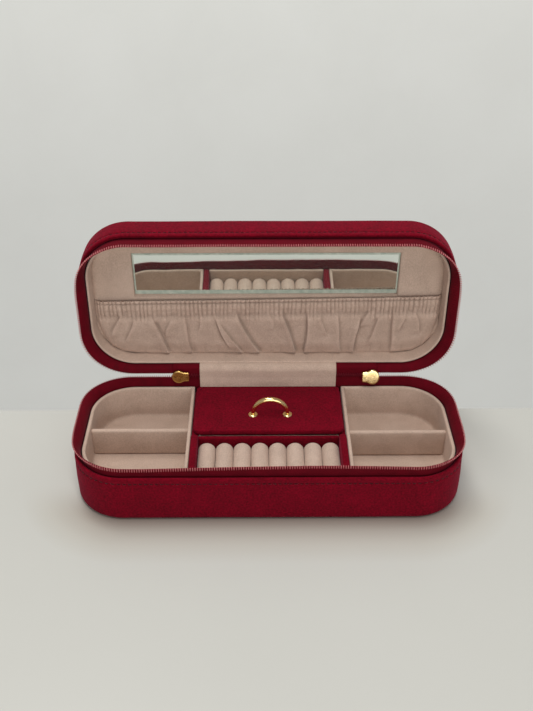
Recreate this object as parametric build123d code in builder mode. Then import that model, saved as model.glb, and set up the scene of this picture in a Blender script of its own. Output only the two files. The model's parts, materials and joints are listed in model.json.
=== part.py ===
from build123d import *
import os

os.makedirs("parts", exist_ok=True)

# Travel jewelry case, millimetres, +Z up, front is -Y, origin at the centre of the underside.

# ---- driving dimensions ------------------------------------------------------------------
LINER_W = 200.0      # width across the lining at the rim
LINER_D = 78.7       # depth across the lining at the rim
LINER_R = 23.7       # plan corner radius at the lining
YR = LINER_D / 2     # rear lining face
YF = -LINER_D / 2    # front lining face

LINING = 1.9         # lining wall, padded
TAPE_IN = 0.45       # zip tape, measured outward from the lining
TAPE_OUT = 1.15
BOARD_IN = 1.3
BOARD_OUT = 2.75
COVER_IN = 2.85
COVER_OUT = 3.7

RIM_Z = 27.7         # lining rim above the surface
FOLD_Z = 29.8        # folded velvet edge of the base
FLOOR_Z = 8.1        # compartment floor
UNDER_Z = 6.5        # underside of the compartments
DIVIDER_Z = 24.7

MODULE_OUT = 42.4    # centre module, half width outside
MODULE_IN = 38.7     # centre module, half width inside
PART_Y = YR - 44.5   # front face of the partition

ROLLS = 8
ROLL_PITCH = 9.66
ROLL_R = 4.8
ROLL_Z = 17.65

PIVOT_Y = YR + 0.8   # lid hinge line
PIVOT_Z = 40.55
LID_Y = YR + 3.7     # lid rim plane, lid standing open at a right angle
LID_Z0 = 41.35       # lowest lining edge of the open lid
LID_ZC = LID_Z0 + LINER_D / 2
LID_FOLD = 2.2       # velvet edge in front of the lid rim plane
LID_BACK = 19.3      # lid back, behind the lid rim plane

BAND_X = 69.5        # half length of the rear zip band
CHAIN_Z = 35.2       # closed chain line at the rear
SLIDER_L = -50.5
SLIDER_R = 59.4


def lid_plane(q):
    """Plane parallel to the lid rim, q behind it, facing the front."""
    return Plane(origin=(0, LID_Y + q, LID_ZC), x_dir=(1, 0, 0), z_dir=(0, -1, 0))


def outline(d, front=None, rear=None, side=None):
    """Rounded rectangle of the case, d outside the lining, with other offsets at will."""
    f = d if front is None else front
    r = d if rear is None else rear
    s = d if side is None else side
    with Locations((0, (r - f) / 2)):
        RectangleRounded(LINER_W + 2 * s, LINER_D + f + r, LINER_R + min(f, r, s))


# ---- base shell --------------------------------------------------------------------------
with BuildPart() as base_cover:
    with BuildSketch(Plane.XY):
        outline(COVER_OUT)
    extrude(amount=FOLD_Z)
    fillet(base_cover.faces().sort_by(Axis.Z)[0].edges(), 3.0)
    with BuildPart(mode=Mode.SUBTRACT) as base_cover_hollow:
        with BuildSketch(Plane.XY.offset(0.8)):
            outline(COVER_IN)
        extrude(amount=FOLD_Z - 0.8 - 0.8)
        fillet(base_cover_hollow.faces().sort_by(Axis.Z)[0].edges(), 2.0)
    with BuildSketch(Plane.XY.offset(FOLD_Z - 1.0)):
        outline(BOARD_IN)
    extrude(amount=2.0, mode=Mode.SUBTRACT)

with BuildPart() as base_wall_board:
    with BuildSketch(Plane.XY.offset(2.95)):
        outline(BOARD_OUT)
        outline_hole = RectangleRounded(LINER_W + 2 * BOARD_IN, LINER_D + 2 * BOARD_IN,
                                        LINER_R + BOARD_IN, mode=Mode.SUBTRACT)
    extrude(amount=FOLD_Z - 0.9 - 2.95)

with BuildPart() as base_floor_board:
    with BuildSketch(Plane.XY.offset(0.85)):
        outline(0.8)
    extrude(amount=1.75)

with BuildPart() as base_floor_foam:
    with BuildSketch(Plane.XY.offset(2.65)):
        outline(0.9)
    extrude(amount=UNDER_Z - 0.05 - 2.65)

# ---- zip tape and coil of the base -------------------------------------------------------
with BuildPart() as base_zip_tape:
    with BuildSketch(Plane.XY.offset(20.0)):
        outline(TAPE_OUT)
        RectangleRounded(LINER_W + 2 * TAPE_IN, LINER_D + 2 * TAPE_IN, LINER_R + TAPE_IN,
                         mode=Mode.SUBTRACT)
    extrude(amount=FOLD_Z + 0.1 - 20.0)
    with BuildPart(mode=Mode.PRIVATE) as base_flare_out:
        with BuildSketch(Plane.XY.offset(FOLD_Z + 0.1)):
            outline(TAPE_OUT)
        with BuildSketch(Plane.XY.offset(33.1)):
            outline(TAPE_OUT, front=1.2, rear=5.2, side=5.2)
        loft(ruled=True)
    with BuildPart(mode=Mode.PRIVATE) as base_flare_in:
        with BuildSketch(Plane.XY.offset(FOLD_Z + 0.1)):
            outline(TAPE_IN)
        with BuildSketch(Plane.XY.offset(33.1)):
            outline(TAPE_IN, front=0.5, rear=4.2, side=4.2)
        loft(ruled=True)
    add(base_flare_out.part - base_flare_in.part)
    with Locations((0, YR + 3, 27)):
        Box(2 * BAND_X + 0.6, 10, 20, mode=Mode.SUBTRACT)

with BuildPart() as base_zip_coil:
    with BuildSketch(Plane.XY.offset(33.12)):
        outline(TAPE_OUT, front=1.2, rear=5.3, side=5.3)
    extrude(amount=0.95)
    with BuildPart(mode=Mode.SUBTRACT):
        with BuildSketch(Plane.XY.offset(33.0)):
            outline(TAPE_IN, front=-0.1, rear=4.0, side=4.0)
        extrude(amount=1.3)
    with Locations((0, YR + 3, 33.5)):
        Box(2 * BAND_X + 0.6, 10, 4, mode=Mode.SUBTRACT)

# ---- compartments ------------------------------------------------------------------------
with BuildPart() as liner_left:
    with BuildSketch(Plane.XY.offset(UNDER_Z)):
        outline(0)
        with Locations((150 - MODULE_OUT - 0.05, 0)):
            Rectangle(300, 100, mode=Mode.SUBTRACT)
    extrude(amount=RIM_Z - UNDER_Z)
    with BuildPart(mode=Mode.SUBTRACT):
        with BuildSketch(Plane.XY.offset(FLOOR_Z)):
            outline(-LINING)
            with Locations((150 - MODULE_OUT - 0.05 - LINING, 0)):
                Rectangle(300, 100, mode=Mode.SUBTRACT)
        extrude(amount=RIM_Z)
    fillet(liner_left.faces().filter_by(Axis.Z).sort_by(Axis.Z)[-1].edges(), 0.6)

with BuildPart() as liner_right:
    add(liner_left.part)
    mirror(about=Plane.YZ, mode=Mode.REPLACE)

with BuildPart() as divider_left:
    with Locations((-(98.0 + 44.45) / 2, 2.55, (FLOOR_Z + 0.05 + DIVIDER_Z) / 2)):
        Box(98.0 - 44.45, 2.8, DIVIDER_Z - FLOOR_Z - 0.05)
    fillet(divider_left.faces().sort_by(Axis.Z)[-1].edges().filter_by(Axis.X), 1.1)

with BuildPart() as divider_right:
    with Locations(((98.0 + 44.45) / 2, 0.35, (FLOOR_Z + 0.05 + DIVIDER_Z) / 2)):
        Box(98.0 - 44.45, 2.8, DIVIDER_Z - FLOOR_Z - 0.05)
    fillet(divider_right.faces().sort_by(Axis.Z)[-1].edges().filter_by(Axis.X), 1.1)

# ---- centre module: two side walls, partition, rear box, ring tray -----------------------
with BuildPart() as module_side_left:
    with BuildSketch(Plane(origin=(-MODULE_OUT, 0, 0), x_dir=(0, 1, 0), z_dir=(1, 0, 0))):
        with BuildLine():
            Polyline((YF + 0.05, UNDER_Z), (YR - 0.6, UNDER_Z), (YR - 0.6, 24.6),
                     (PART_Y - 0.6, 24.6), (PART_Y - 0.6, RIM_Z), (YF + 0.05, RIM_Z), close=True)
        make_face()
    extrude(amount=MODULE_OUT - MODULE_IN)
    fillet(module_side_left.faces().filter_by(Axis.Z).sort_by(Axis.Z)[-1].edges().filter_by(Axis.Y), 0.9)

with BuildPart() as module_side_right:
    add(module_side_left.part)
    mirror(about=Plane.YZ, mode=Mode.REPLACE)

with BuildPart() as module_partition:
    with Locations((0, PART_Y + 1.2, (UNDER_Z + 24.6) / 2)):
        Box(2 * MODULE_IN - 0.1, 2.4, 24.6 - UNDER_Z)

with BuildPart() as rear_box_liner:
    with Locations((0, (PART_Y + 2.45 + YR - 0.6) / 2, (UNDER_Z + 24.6) / 2)):
        Box(2 * MODULE_IN - 0.1, YR - 0.6 - PART_Y - 2.45, 24.6 - UNDER_Z)
    with Locations((0, (PART_Y + 2.45 + YR - 0.6) / 2, (FLOOR_Z + 30) / 2)):
        Box(2 * MODULE_IN - 2.5, YR - 0.6 - PART_Y - 2.45 - 2.4, 30 - FLOOR_Z, mode=Mode.SUBTRACT)

with BuildPart() as ring_bed:
    with Locations((0, (PART_Y - 0.05 + YF + 2.0) / 2, (UNDER_Z + 12.8) / 2)):
        Box(2 * MODULE_IN - 0.1, PART_Y - YF - 2.05, 12.8 - UNDER_Z)

with BuildPart() as ring_front_lining:
    with Locations((0, YF + 1.0, (UNDER_Z + RIM_Z) / 2)):
        Box(2 * MODULE_IN - 0.1, 1.9, RIM_Z - UNDER_Z)
    fillet(ring_front_lining.faces().sort_by(Axis.Z)[-1].edges().filter_by(Axis.X), 0.6)

ring_rolls = []
for i in range(ROLLS):
    with BuildPart() as ring_roll:
        with BuildSketch(Plane(origin=((i - (ROLLS - 1) / 2) * ROLL_PITCH, PART_Y - 0.5, ROLL_Z),
                               x_dir=(1, 0, 0), z_dir=(0, -1, 0))):
            Circle(ROLL_R)
        extrude(amount=PART_Y - 0.5 - (YF + 2.4))
        fillet(ring_roll.edges().filter_by(GeomType.CIRCLE), 1.3)
    ring_rolls.append(ring_roll)

# ---- inner lid over the rear box, with its arched handle ---------------------------------
HANDLE_X = 1.5
HANDLE_Y = YR - 27.0
HANDLE_R = 10.5
HANDLE_H = 9.7
IL_TOP = 27.9
IL_REAR = YR - 0.9
IL_FRONT = YR - 44.6

with BuildPart() as inner_lid_cover:
    with BuildSketch(Plane.XY.offset(24.9)):
        with Locations((0, (IL_REAR + IL_FRONT) / 2)):
            Rectangle(84.0, IL_REAR - IL_FRONT)
    extrude(amount=IL_TOP - 24.9)
    fillet(inner_lid_cover.edges().filter_by(Axis.Z).group_by(Axis.Y)[0], 4.0)
    fillet(inner_lid_cover.faces().sort_by(Axis.Z)[-1].edges().sort_by(Axis.Y)[:-1], 0.8)
    with Locations((0, (IL_REAR + IL_FRONT) / 2, 24.9 + 1.05)):
        Box(82.4, IL_REAR - IL_FRONT - 1.6, 2.1, mode=Mode.SUBTRACT)
    with Locations((HANDLE_X - HANDLE_R, HANDLE_Y, 27.4), (HANDLE_X + HANDLE_R, HANDLE_Y, 27.4)):
        Cylinder(1.0, 3.0, mode=Mode.SUBTRACT)

with BuildPart() as inner_lid_board:
    with Locations((0, (IL_REAR + IL_FRONT) / 2, (25.7 + 26.95) / 2)):
        Box(82.2, IL_REAR - IL_FRONT - 1.8, 1.25)
    with Locations((HANDLE_X - HANDLE_R, HANDLE_Y, 26.3), (HANDLE_X + HANDLE_R, HANDLE_Y, 26.3)):
        Cylinder(1.0, 3.0, mode=Mode.SUBTRACT)

with BuildPart() as inner_lid_lining:
    with Locations((0, (IL_REAR + IL_FRONT) / 2, 25.3)):
        Box(82.2, IL_REAR - IL_FRONT - 1.8, 0.75)
    with Locations((HANDLE_X - HANDLE_R, HANDLE_Y, 25.3), (HANDLE_X + HANDLE_R, HANDLE_Y, 25.3)):
        Cylinder(2.1, 3.0, mode=Mode.SUBTRACT)

with BuildPart() as inner_lid_hinge:
    with Locations((0, YR - 0.3, 26.3)):
        Box(80.0, 0.5, 2.8)

with BuildPart() as handle_arch:
    with BuildLine(Plane(origin=(HANDLE_X, HANDLE_Y, IL_TOP + 0.85), x_dir=(1, 0, 0), z_dir=(0, -1, 0))) as arch_line:
        ThreePointArc((HANDLE_R, 0), (0, HANDLE_H), (-HANDLE_R, 0))
    with BuildSketch(Plane(origin=(HANDLE_X + HANDLE_R, HANDLE_Y, IL_TOP + 0.85), x_dir=(1, 0, 0), z_dir=(0, 0, 1))):
        Circle(1.05)
    sweep(path=arch_line.line)

with BuildPart() as handle_washers:
    with Locations((HANDLE_X - HANDLE_R, HANDLE_Y, IL_TOP + 0.4), (HANDLE_X + HANDLE_R, HANDLE_Y, IL_TOP + 0.4)):
        Cylinder(2.3, 0.75)
    fillet(handle_washers.faces().filter_by(Axis.Z).group_by(Axis.Z)[-1].edges(), 0.3)
    with Locations((HANDLE_X - HANDLE_R, HANDLE_Y, IL_TOP + 0.4), (HANDLE_X + HANDLE_R, HANDLE_Y, IL_TOP + 0.4)):
        Cylinder(1.0, 3.0, mode=Mode.SUBTRACT)

with BuildPart() as handle_screws:
    with Locations((HANDLE_X - HANDLE_R, HANDLE_Y, 25.3), (HANDLE_X + HANDLE_R, HANDLE_Y, 25.3)):
        Cylinder(1.95, 0.7)
    with Locations((HANDLE_X - HANDLE_R, HANDLE_Y, 27.05), (HANDLE_X + HANDLE_R, HANDLE_Y, 27.05)):
        Cylinder(0.93, 2.85)

# ---- rear band: closed stretch of the zip, the fabric hinge of the case ------------------
with BuildPart() as hinge_band:
    with Locations((0, YR + (TAPE_IN + TAPE_OUT) / 2, (20.0 + 40.2) / 2)):
        Box(2 * BAND_X, TAPE_OUT - TAPE_IN, 20.2)
    with Locations((-(41.5 + BAND_X + 1) / 2, YR + 0.8, CHAIN_Z), ((41.5 + BAND_X + 1) / 2, YR + 0.8, CHAIN_Z)):
        Box(BAND_X + 1 - 41.5, 3, 3.2, mode=Mode.SUBTRACT)

with BuildPart() as hinge_strip:
    with Locations((0, YR + 0.05, (27.8 + 40.2) / 2)):
        Box(79.0, 0.7, 12.4)

with BuildPart() as rear_chain_right:
    with Locations(((41.55 + BAND_X - 0.1) / 2, YR + 0.8, CHAIN_Z)):
        Box(BAND_X - 0.1 - 41.55, 1.8, 3.1)
    with Locations(((45.5 + BAND_X + 2) / 2, YR + 0.8, CHAIN_Z)):
        Box(BAND_X + 2 - 45.5, 3, 1.1, mode=Mode.SUBTRACT)

with BuildPart() as rear_chain_left:
    add(rear_chain_right.part)
    mirror(about=Plane.YZ, mode=Mode.REPLACE)


# ---- zip sliders and pulls ---------------------------------------------------------------
def slider_at(x, sign):
    """Slider with its wide end towards the open side (sign is that side along X)."""
    with BuildPart() as s:
        with BuildSketch(Plane(origin=(x, YR - 0.4, CHAIN_Z), x_dir=(sign, 0, 0), z_dir=(0, -1, 0) if sign > 0 else (0, 1, 0))):
            with BuildLine():
                Polyline((-5.0, -2.9), (-1.0, -3.3), (2.6, -4.1), (4.6, -3.6), (5.0, 0),
                         (4.6, 3.6), (2.6, 4.1), (-1.0, 3.3), (-5.0, 2.9), close=True)
            make_face()
        extrude(amount=1.2 if sign > 0 else -1.2)
        with BuildSketch(Plane(origin=(x, YR + 3.1, CHAIN_Z - 0.6), x_dir=(sign, 0, 0), z_dir=(0, -1, 0) if sign > 0 else (0, 1, 0))):
            RectangleRounded(9.0, 5.2, 1.2)
        extrude(amount=1.1 if sign > 0 else -1.1)
        with Locations((x, YR + 0.8, CHAIN_Z)):
            Box(2.4, 2.6, 0.8)
        with Locations((x - 2.75, YR + 3.8, 33.9), (x + 2.75, YR + 3.8, 33.9)):
            Box(1.1, 1.6, 1.5)
        with Locations((x, YR + 4.5, 33.9)):
            Cylinder(0.5, 5.2, rotation=(0, 90, 0))
    return s


def pull_at(x):
    """Flat pull hanging from the slider's bail on a barrel eye."""
    with BuildPart() as p:
        with Locations((x, YR + 4.5, 33.9)):
            Cylinder(1.1, 3.8, rotation=(0, 90, 0))
        with BuildSketch(Plane(origin=(x, YR + 5.1, 0), x_dir=(1, 0, 0), z_dir=(0, -1, 0))):
            with Locations((0, 20.9)):
                RectangleRounded(4.6, 25.0, 2.0)
        extrude(amount=0.95)
        with Locations((x, YR + 4.5, 33.9)):
            Cylinder(0.6, 8, rotation=(0, 90, 0), mode=Mode.SUBTRACT)
    return p


slider_left = slider_at(SLIDER_L, -1)
slider_right = slider_at(SLIDER_R, 1)
pull_left = pull_at(SLIDER_L)
pull_right = pull_at(SLIDER_R)

# ---- lid shell ---------------------------------------------------------------------------
with BuildPart() as lid_cover:
    with BuildSketch(lid_plane(LID_BACK)):
        outline(COVER_OUT)
    extrude(amount=LID_BACK + LID_FOLD)
    fillet(lid_cover.faces().sort_by(Axis.Y)[-1].edges(), 3.5)
    with BuildPart(mode=Mode.SUBTRACT) as lid_cover_hollow:
        with BuildSketch(lid_plane(LID_BACK - 0.8)):
            outline(COVER_IN)
        extrude(amount=LID_BACK - 0.8 + LID_FOLD - 0.8)
        fillet(lid_cover_hollow.faces().sort_by(Axis.Y)[-1].edges(), 2.5)
    with BuildSketch(lid_plane(0)):
        outline(BOARD_IN)
    extrude(amount=5.0, mode=Mode.SUBTRACT)

with BuildPart() as lid_wall_board:
    with BuildSketch(lid_plane(LID_BACK - 3.5)):
        outline(BOARD_OUT)
        RectangleRounded(LINER_W + 2 * BOARD_IN, LINER_D + 2 * BOARD_IN, LINER_R + BOARD_IN,
                         mode=Mode.SUBTRACT)
    extrude(amount=LID_BACK - 3.5 + LID_FOLD - 0.9)

with BuildPart() as lid_back_board:
    with BuildSketch(lid_plane(LID_BACK - 0.85)):
        outline(0.3)
    extrude(amount=1.6)

with BuildPart() as lid_back_foam:
    with BuildSketch(lid_plane(LID_BACK - 2.5)):
        outline(0.6)
    extrude(amount=LID_BACK - 2.5 - 14.6)

# padded inner panel with its mirror recess
MIR_X = -1.0
MIR_Z = 94.8
MIR_W = 148.0
MIR_H = 26.8
with BuildPart() as lid_panel:
    with BuildSketch(lid_plane(14.5)):
        outline(-LINING - 0.15)
    extrude(amount=14.5 - 8.3)
    fillet(lid_panel.faces().sort_by(Axis.Y)[0].edges(), 2.0)
    with Locations((MIR_X, LID_Y + 8.3 + 1.9, MIR_Z)):
        Box(MIR_W + 0.8, 3.9, MIR_H + 0.8, mode=Mode.SUBTRACT)

with BuildPart() as mirror_glass:
    with BuildSketch(Plane(origin=(MIR_X - MIR_W / 2, LID_Y, MIR_Z), x_dir=(0, 1, 0), z_dir=(1, 0, 0))):
        with BuildLine():
            Polyline((8.85, MIR_H / 2), (10.6, -MIR_H / 2), (11.7, -MIR_H / 2), (9.95, MIR_H / 2), close=True)
        make_face()
    extrude(amount=MIR_W)

with BuildPart() as mirror_backing:
    with BuildSketch(Plane(origin=(MIR_X - MIR_W / 2 + 0.4, LID_Y, MIR_Z), x_dir=(0, 1, 0), z_dir=(1, 0, 0))):
        with BuildLine():
            Polyline((10.0, MIR_H / 2 - 0.3), (11.72, -MIR_H / 2 + 0.3), (12.1, -MIR_H / 2 + 0.3),
                     (12.1, MIR_H / 2 - 0.3), close=True)
        make_face()
    extrude(amount=MIR_W - 0.8)

with BuildPart() as lid_rim_lining:
    with BuildSketch(lid_plane(14.5)):
        outline(0)
        RectangleRounded(LINER_W - 2 * LINING, LINER_D - 2 * LINING, LINER_R - LINING,
                         mode=Mode.SUBTRACT)
    extrude(amount=14.5)

with BuildPart() as lid_zip_tape:
    with BuildSketch(lid_plane(8.0)):
        outline(TAPE_OUT)
        RectangleRounded(LINER_W + 2 * TAPE_IN, LINER_D + 2 * TAPE_IN, LINER_R + TAPE_IN,
                         mode=Mode.SUBTRACT)
    extrude(amount=8.0 + LID_FOLD + 0.1)
    with BuildPart(mode=Mode.PRIVATE) as lid_flare_out:
        with BuildSketch(lid_plane(-LID_FOLD - 0.1)):
            outline(TAPE_OUT)
        with BuildSketch(lid_plane(-5.9)):
            outline(TAPE_OUT, front=4.4, rear=1.2, side=5.2)
        loft(ruled=True)
    with BuildPart(mode=Mode.PRIVATE) as lid_flare_in:
        with BuildSketch(lid_plane(-LID_FOLD - 0.1)):
            outline(TAPE_IN)
        with BuildSketch(lid_plane(-5.9)):
            outline(TAPE_IN, front=3.5, rear=0.5, side=4.3)
        loft(ruled=True)
    add(lid_flare_out.part - lid_flare_in.part)
    with Locations((0, LID_Y, LID_Z0)):
        Box(2 * BAND_X + 0.6, 40, 12, mode=Mode.SUBTRACT)

with BuildPart() as lid_zip_coil:
    with BuildSketch(lid_plane(-5.92)):
        outline(TAPE_OUT, front=4.5, rear=1.2, side=5.3)
    extrude(amount=1.2)
    with BuildPart(mode=Mode.SUBTRACT):
        with BuildSketch(lid_plane(-5.5)):
            outline(TAPE_IN, front=3.3, rear=-0.1, side=4.0)
        extrude(amount=2.0)
    with Locations((0, LID_Y, LID_Z0)):
        Box(2 * BAND_X + 0.6, 40, 12, mode=Mode.SUBTRACT)

# gathered pocket across the lower half of the lid panel
POCKET_TOP = 80.4
ELASTIC_BOTTOM = 74.2
with BuildPart() as pocket_fabric:
    with BuildSketch(lid_plane(8.2)):
        outline(-LINING - 1.6)
        with Locations((0, 100 + ELASTIC_BOTTOM - 0.1 - LID_ZC)):
            Rectangle(240, 200, mode=Mode.SUBTRACT)
    extrude(amount=3.4)
    fillet(pocket_fabric.faces().sort_by(Axis.Y)[0].edges(), 1.2)

with BuildPart() as pocket_elastic:
    with BuildSketch(lid_plane(8.2)):
        outline(-LINING - 1.6)
        with Locations((0, 100 + POCKET_TOP - LID_ZC), (0, -100 + ELASTIC_BOTTOM - LID_ZC)):
            Rectangle(240, 200, mode=Mode.SUBTRACT)
    extrude(amount=3.4)

# ---- labels and export -------------------------------------------------------------------
pieces = {
    "base_cover": base_cover, "base_wall_board": base_wall_board,
    "base_floor_board": base_floor_board, "base_floor_foam": base_floor_foam,
    "base_zip_tape": base_zip_tape, "base_zip_coil": base_zip_coil,
    "liner_left": liner_left, "liner_right": liner_right,
    "divider_left": divider_left, "divider_right": divider_right,
    "module_side_left": module_side_left, "module_side_right": module_side_right,
    "module_partition": module_partition, "rear_box_liner": rear_box_liner,
    "ring_bed": ring_bed, "ring_front_lining": ring_front_lining,
    "inner_lid_cover": inner_lid_cover, "inner_lid_board": inner_lid_board,
    "inner_lid_lining": inner_lid_lining, "inner_lid_hinge": inner_lid_hinge,
    "handle_arch": handle_arch, "handle_washers": handle_washers, "handle_screws": handle_screws,
    "hinge_band": hinge_band, "hinge_strip": hinge_strip,
    "rear_chain_left": rear_chain_left, "rear_chain_right": rear_chain_right,
    "slider_left": slider_left, "slider_right": slider_right,
    "pull_left": pull_left, "pull_right": pull_right,
    "lid_cover": lid_cover, "lid_wall_board": lid_wall_board, "lid_back_board": lid_back_board,
    "lid_back_foam": lid_back_foam, "lid_panel": lid_panel, "lid_rim_lining": lid_rim_lining,
    "mirror_glass": mirror_glass, "mirror_backing": mirror_backing,
    "pocket_fabric": pocket_fabric, "pocket_elastic": pocket_elastic,
    "lid_zip_tape": lid_zip_tape, "lid_zip_coil": lid_zip_coil,
}
for i, roll in enumerate(ring_rolls):
    pieces["ring_roll_%d" % (i + 1)] = roll

for label, piece in pieces.items():
    piece.part.label = label
    export_step(piece.part, "parts/%s.step" % label)
    bb = piece.part.bounding_box()
    print("%-18s solids %d valid %s vol %.1f  x %.1f..%.1f y %.1f..%.1f z %.1f..%.1f" % (
        label, len(piece.part.solids()), piece.part.is_valid, piece.part.volume,
        bb.min.X, bb.max.X, bb.min.Y, bb.max.Y, bb.min.Z, bb.max.Z))
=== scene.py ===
import bpy, json, math
import numpy as np
from mathutils import Vector, Matrix, noise

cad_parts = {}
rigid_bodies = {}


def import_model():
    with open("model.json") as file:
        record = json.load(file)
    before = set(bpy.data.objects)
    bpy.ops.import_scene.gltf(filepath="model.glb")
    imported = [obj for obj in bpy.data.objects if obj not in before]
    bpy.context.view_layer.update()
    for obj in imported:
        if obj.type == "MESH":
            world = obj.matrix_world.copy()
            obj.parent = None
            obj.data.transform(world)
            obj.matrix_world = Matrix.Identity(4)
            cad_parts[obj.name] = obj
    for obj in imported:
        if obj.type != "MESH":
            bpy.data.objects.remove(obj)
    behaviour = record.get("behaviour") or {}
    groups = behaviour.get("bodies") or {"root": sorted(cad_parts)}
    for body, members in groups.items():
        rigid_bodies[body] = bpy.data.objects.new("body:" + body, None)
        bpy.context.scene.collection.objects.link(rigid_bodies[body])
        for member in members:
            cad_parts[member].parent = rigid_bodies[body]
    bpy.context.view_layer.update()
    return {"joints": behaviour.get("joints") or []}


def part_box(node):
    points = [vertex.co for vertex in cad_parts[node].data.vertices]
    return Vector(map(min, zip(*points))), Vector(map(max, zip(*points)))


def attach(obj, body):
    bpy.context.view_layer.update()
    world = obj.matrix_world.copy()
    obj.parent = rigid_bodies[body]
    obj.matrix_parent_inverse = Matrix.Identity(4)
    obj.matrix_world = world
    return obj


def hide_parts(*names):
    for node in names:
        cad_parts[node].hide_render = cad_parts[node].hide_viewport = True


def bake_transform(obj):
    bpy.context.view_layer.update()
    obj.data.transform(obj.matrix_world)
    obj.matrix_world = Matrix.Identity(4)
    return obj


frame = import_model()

MM = 0.001
rng = np.random.default_rng(11)

# ------------------------------------------------------------------ positions from the frame
_lo, _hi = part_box("liner_right")
HW, YR, RIM = float(_hi[0]), float(_hi[1]), float(_hi[2])
RAD = 23.7 * MM
LR_LO, LR_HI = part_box("lid_rim_lining")
LID_Y, LID_Z0 = float(LR_LO[1]), float(LR_LO[2])
PIV_Y, PIV_Z = YR + 0.8 * MM, 40.55 * MM
for _j in frame["joints"]:
    if _j.get("name") == "lid_hinge":
        PIV_Y, PIV_Z = float(_j["pos_m"][1]), float(_j["pos_m"][2])
FLOOR_PAD = 8.1 * MM


def PB(u, v, h):
    """Base: u across, v towards the hinge, h above the lining rim."""
    return np.stack([u, v, RIM + h + 0 * u], -1)


def PL(u, v, h):
    """Lid, open: the same three, mirrored about the hinge."""
    return np.stack([u, LID_Y - h + 0 * u, LID_Z0 + (YR - v)], -1)


# ------------------------------------------------------------------ materials
def nt(mat):
    mat.use_nodes = True
    return mat.node_tree.nodes, mat.node_tree.links


def base_mat(name):
    m = bpy.data.materials.new(name)
    n, l = nt(m)
    b = n["Principled BSDF"]
    tc = n.new("ShaderNodeTexCoord")
    return m, n, l, b, tc


def noise_node(n, l, tc, scale, detail=3.0, rough=0.55, dist=0.0, mapping=None):
    t = n.new("ShaderNodeTexNoise")
    t.inputs["Scale"].default_value = scale
    t.inputs["Detail"].default_value = detail
    t.inputs["Roughness"].default_value = rough
    t.inputs["Distortion"].default_value = dist
    if mapping is not None:
        mp = n.new("ShaderNodeMapping")
        mp.inputs["Scale"].default_value = mapping
        l.new(tc.outputs["Object"], mp.inputs["Vector"])
        l.new(mp.outputs["Vector"], t.inputs["Vector"])
    else:
        l.new(tc.outputs["Object"], t.inputs["Vector"])
    return t


def ramp(n, l, src, stops):
    r = n.new("ShaderNodeValToRGB")
    e = r.color_ramp.elements
    e[0].position, e[0].color = stops[0][0], (*stops[0][1], 1)
    e[1].position, e[1].color = stops[-1][0], (*stops[-1][1], 1)
    for p, c in stops[1:-1]:
        x = e.new(p)
        x.color = (*c, 1)
    l.new(src, r.inputs["Fac"])
    return r


def mix(n, l, a, b, fac, mode="MIX"):
    m = n.new("ShaderNodeMix")
    m.data_type = "RGBA"
    m.blend_type = mode
    if isinstance(fac, float):
        m.inputs[0].default_value = fac
    else:
        l.new(fac, m.inputs[0])
    for s, v in ((6, a), (7, b)):
        if isinstance(v, tuple):
            m.inputs[s].default_value = (*v, 1)
        else:
            l.new(v, m.inputs[s])
    return m.outputs[2]


def bump_chain(n, l, b, items):
    last = None
    for src, strength, dist in items:
        bp = n.new("ShaderNodeBump")
        bp.inputs["Strength"].default_value = strength
        bp.inputs["Distance"].default_value = dist
        l.new(src, bp.inputs["Height"])
        if last is not None:
            l.new(last, bp.inputs["Normal"])
        last = bp.outputs["Normal"]
    l.new(last, b.inputs["Normal"])


def fabric(name, dark, mid, light, nap_scale=1500.0, blotch=70.0, sheen=0.5, sheen_rough=0.4,
           sheen_tint=(1, 1, 1), rough=0.85, bump=0.35, weave=0.0, streak=None, grain=0.42):
    """Brushed fabric: broad tonal patches where the nap lies differently, fine fibre speckle and a soft sheen."""
    m, n, l, b, tc = base_mat(name)
    big = noise_node(n, l, tc, blotch, 4.0, 0.6, 0.6, mapping=streak)
    col = ramp(n, l, big.outputs["Fac"], [(0.30, dark), (0.52, mid), (0.74, light)])
    fine = noise_node(n, l, tc, nap_scale, 2.0, 0.7)
    fcol = ramp(n, l, fine.outputs["Fac"], [(0.34, tuple((1 - 0.9 * grain) * c for c in mid)), (0.66, tuple(min(1, (1 + 0.75 * grain) * c) for c in mid))])
    c = mix(n, l, col.outputs["Color"], fcol.outputs["Color"], grain)
    midn = noise_node(n, l, tc, nap_scale * 0.25, 3.0, 0.6)
    items = [(midn.outputs["Fac"], bump * 0.6, 0.00025), (fine.outputs["Fac"], bump, 0.00012)]
    if weave:
        w1 = n.new("ShaderNodeTexWave")
        w1.inputs["Scale"].default_value = weave
        w1.bands_direction = "DIAGONAL"
        w1.inputs["Distortion"].default_value = 1.2
        w1.inputs["Detail"].default_value = 1.5
        w1.inputs["Detail Scale"].default_value = 3.0
        l.new(tc.outputs["Object"], w1.inputs["Vector"])
        items.append((w1.outputs["Fac"], 0.35, 0.00018))
        wc = ramp(n, l, w1.outputs["Fac"], [(0.1, (0.55, 0.55, 0.55)), (0.7, (1.0, 1.0, 1.0))])
        c = mix(n, l, c, wc.outputs["Color"], 0.5, "MULTIPLY")
    l.new(c, b.inputs["Base Color"])
    rr = ramp(n, l, big.outputs["Fac"], [(0.3, (rough - 0.08,) * 3), (0.7, (min(1.0, rough + 0.08),) * 3)])
    l.new(rr.outputs["Color"], b.inputs["Roughness"])
    b.inputs["Sheen Weight"].default_value = sheen
    b.inputs["Sheen Roughness"].default_value = sheen_rough
    b.inputs["Sheen Tint"].default_value = (*sheen_tint, 1)
    b.inputs["Specular IOR Level"].default_value = 0.08
    bump_chain(n, l, b, items)
    return m


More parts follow.
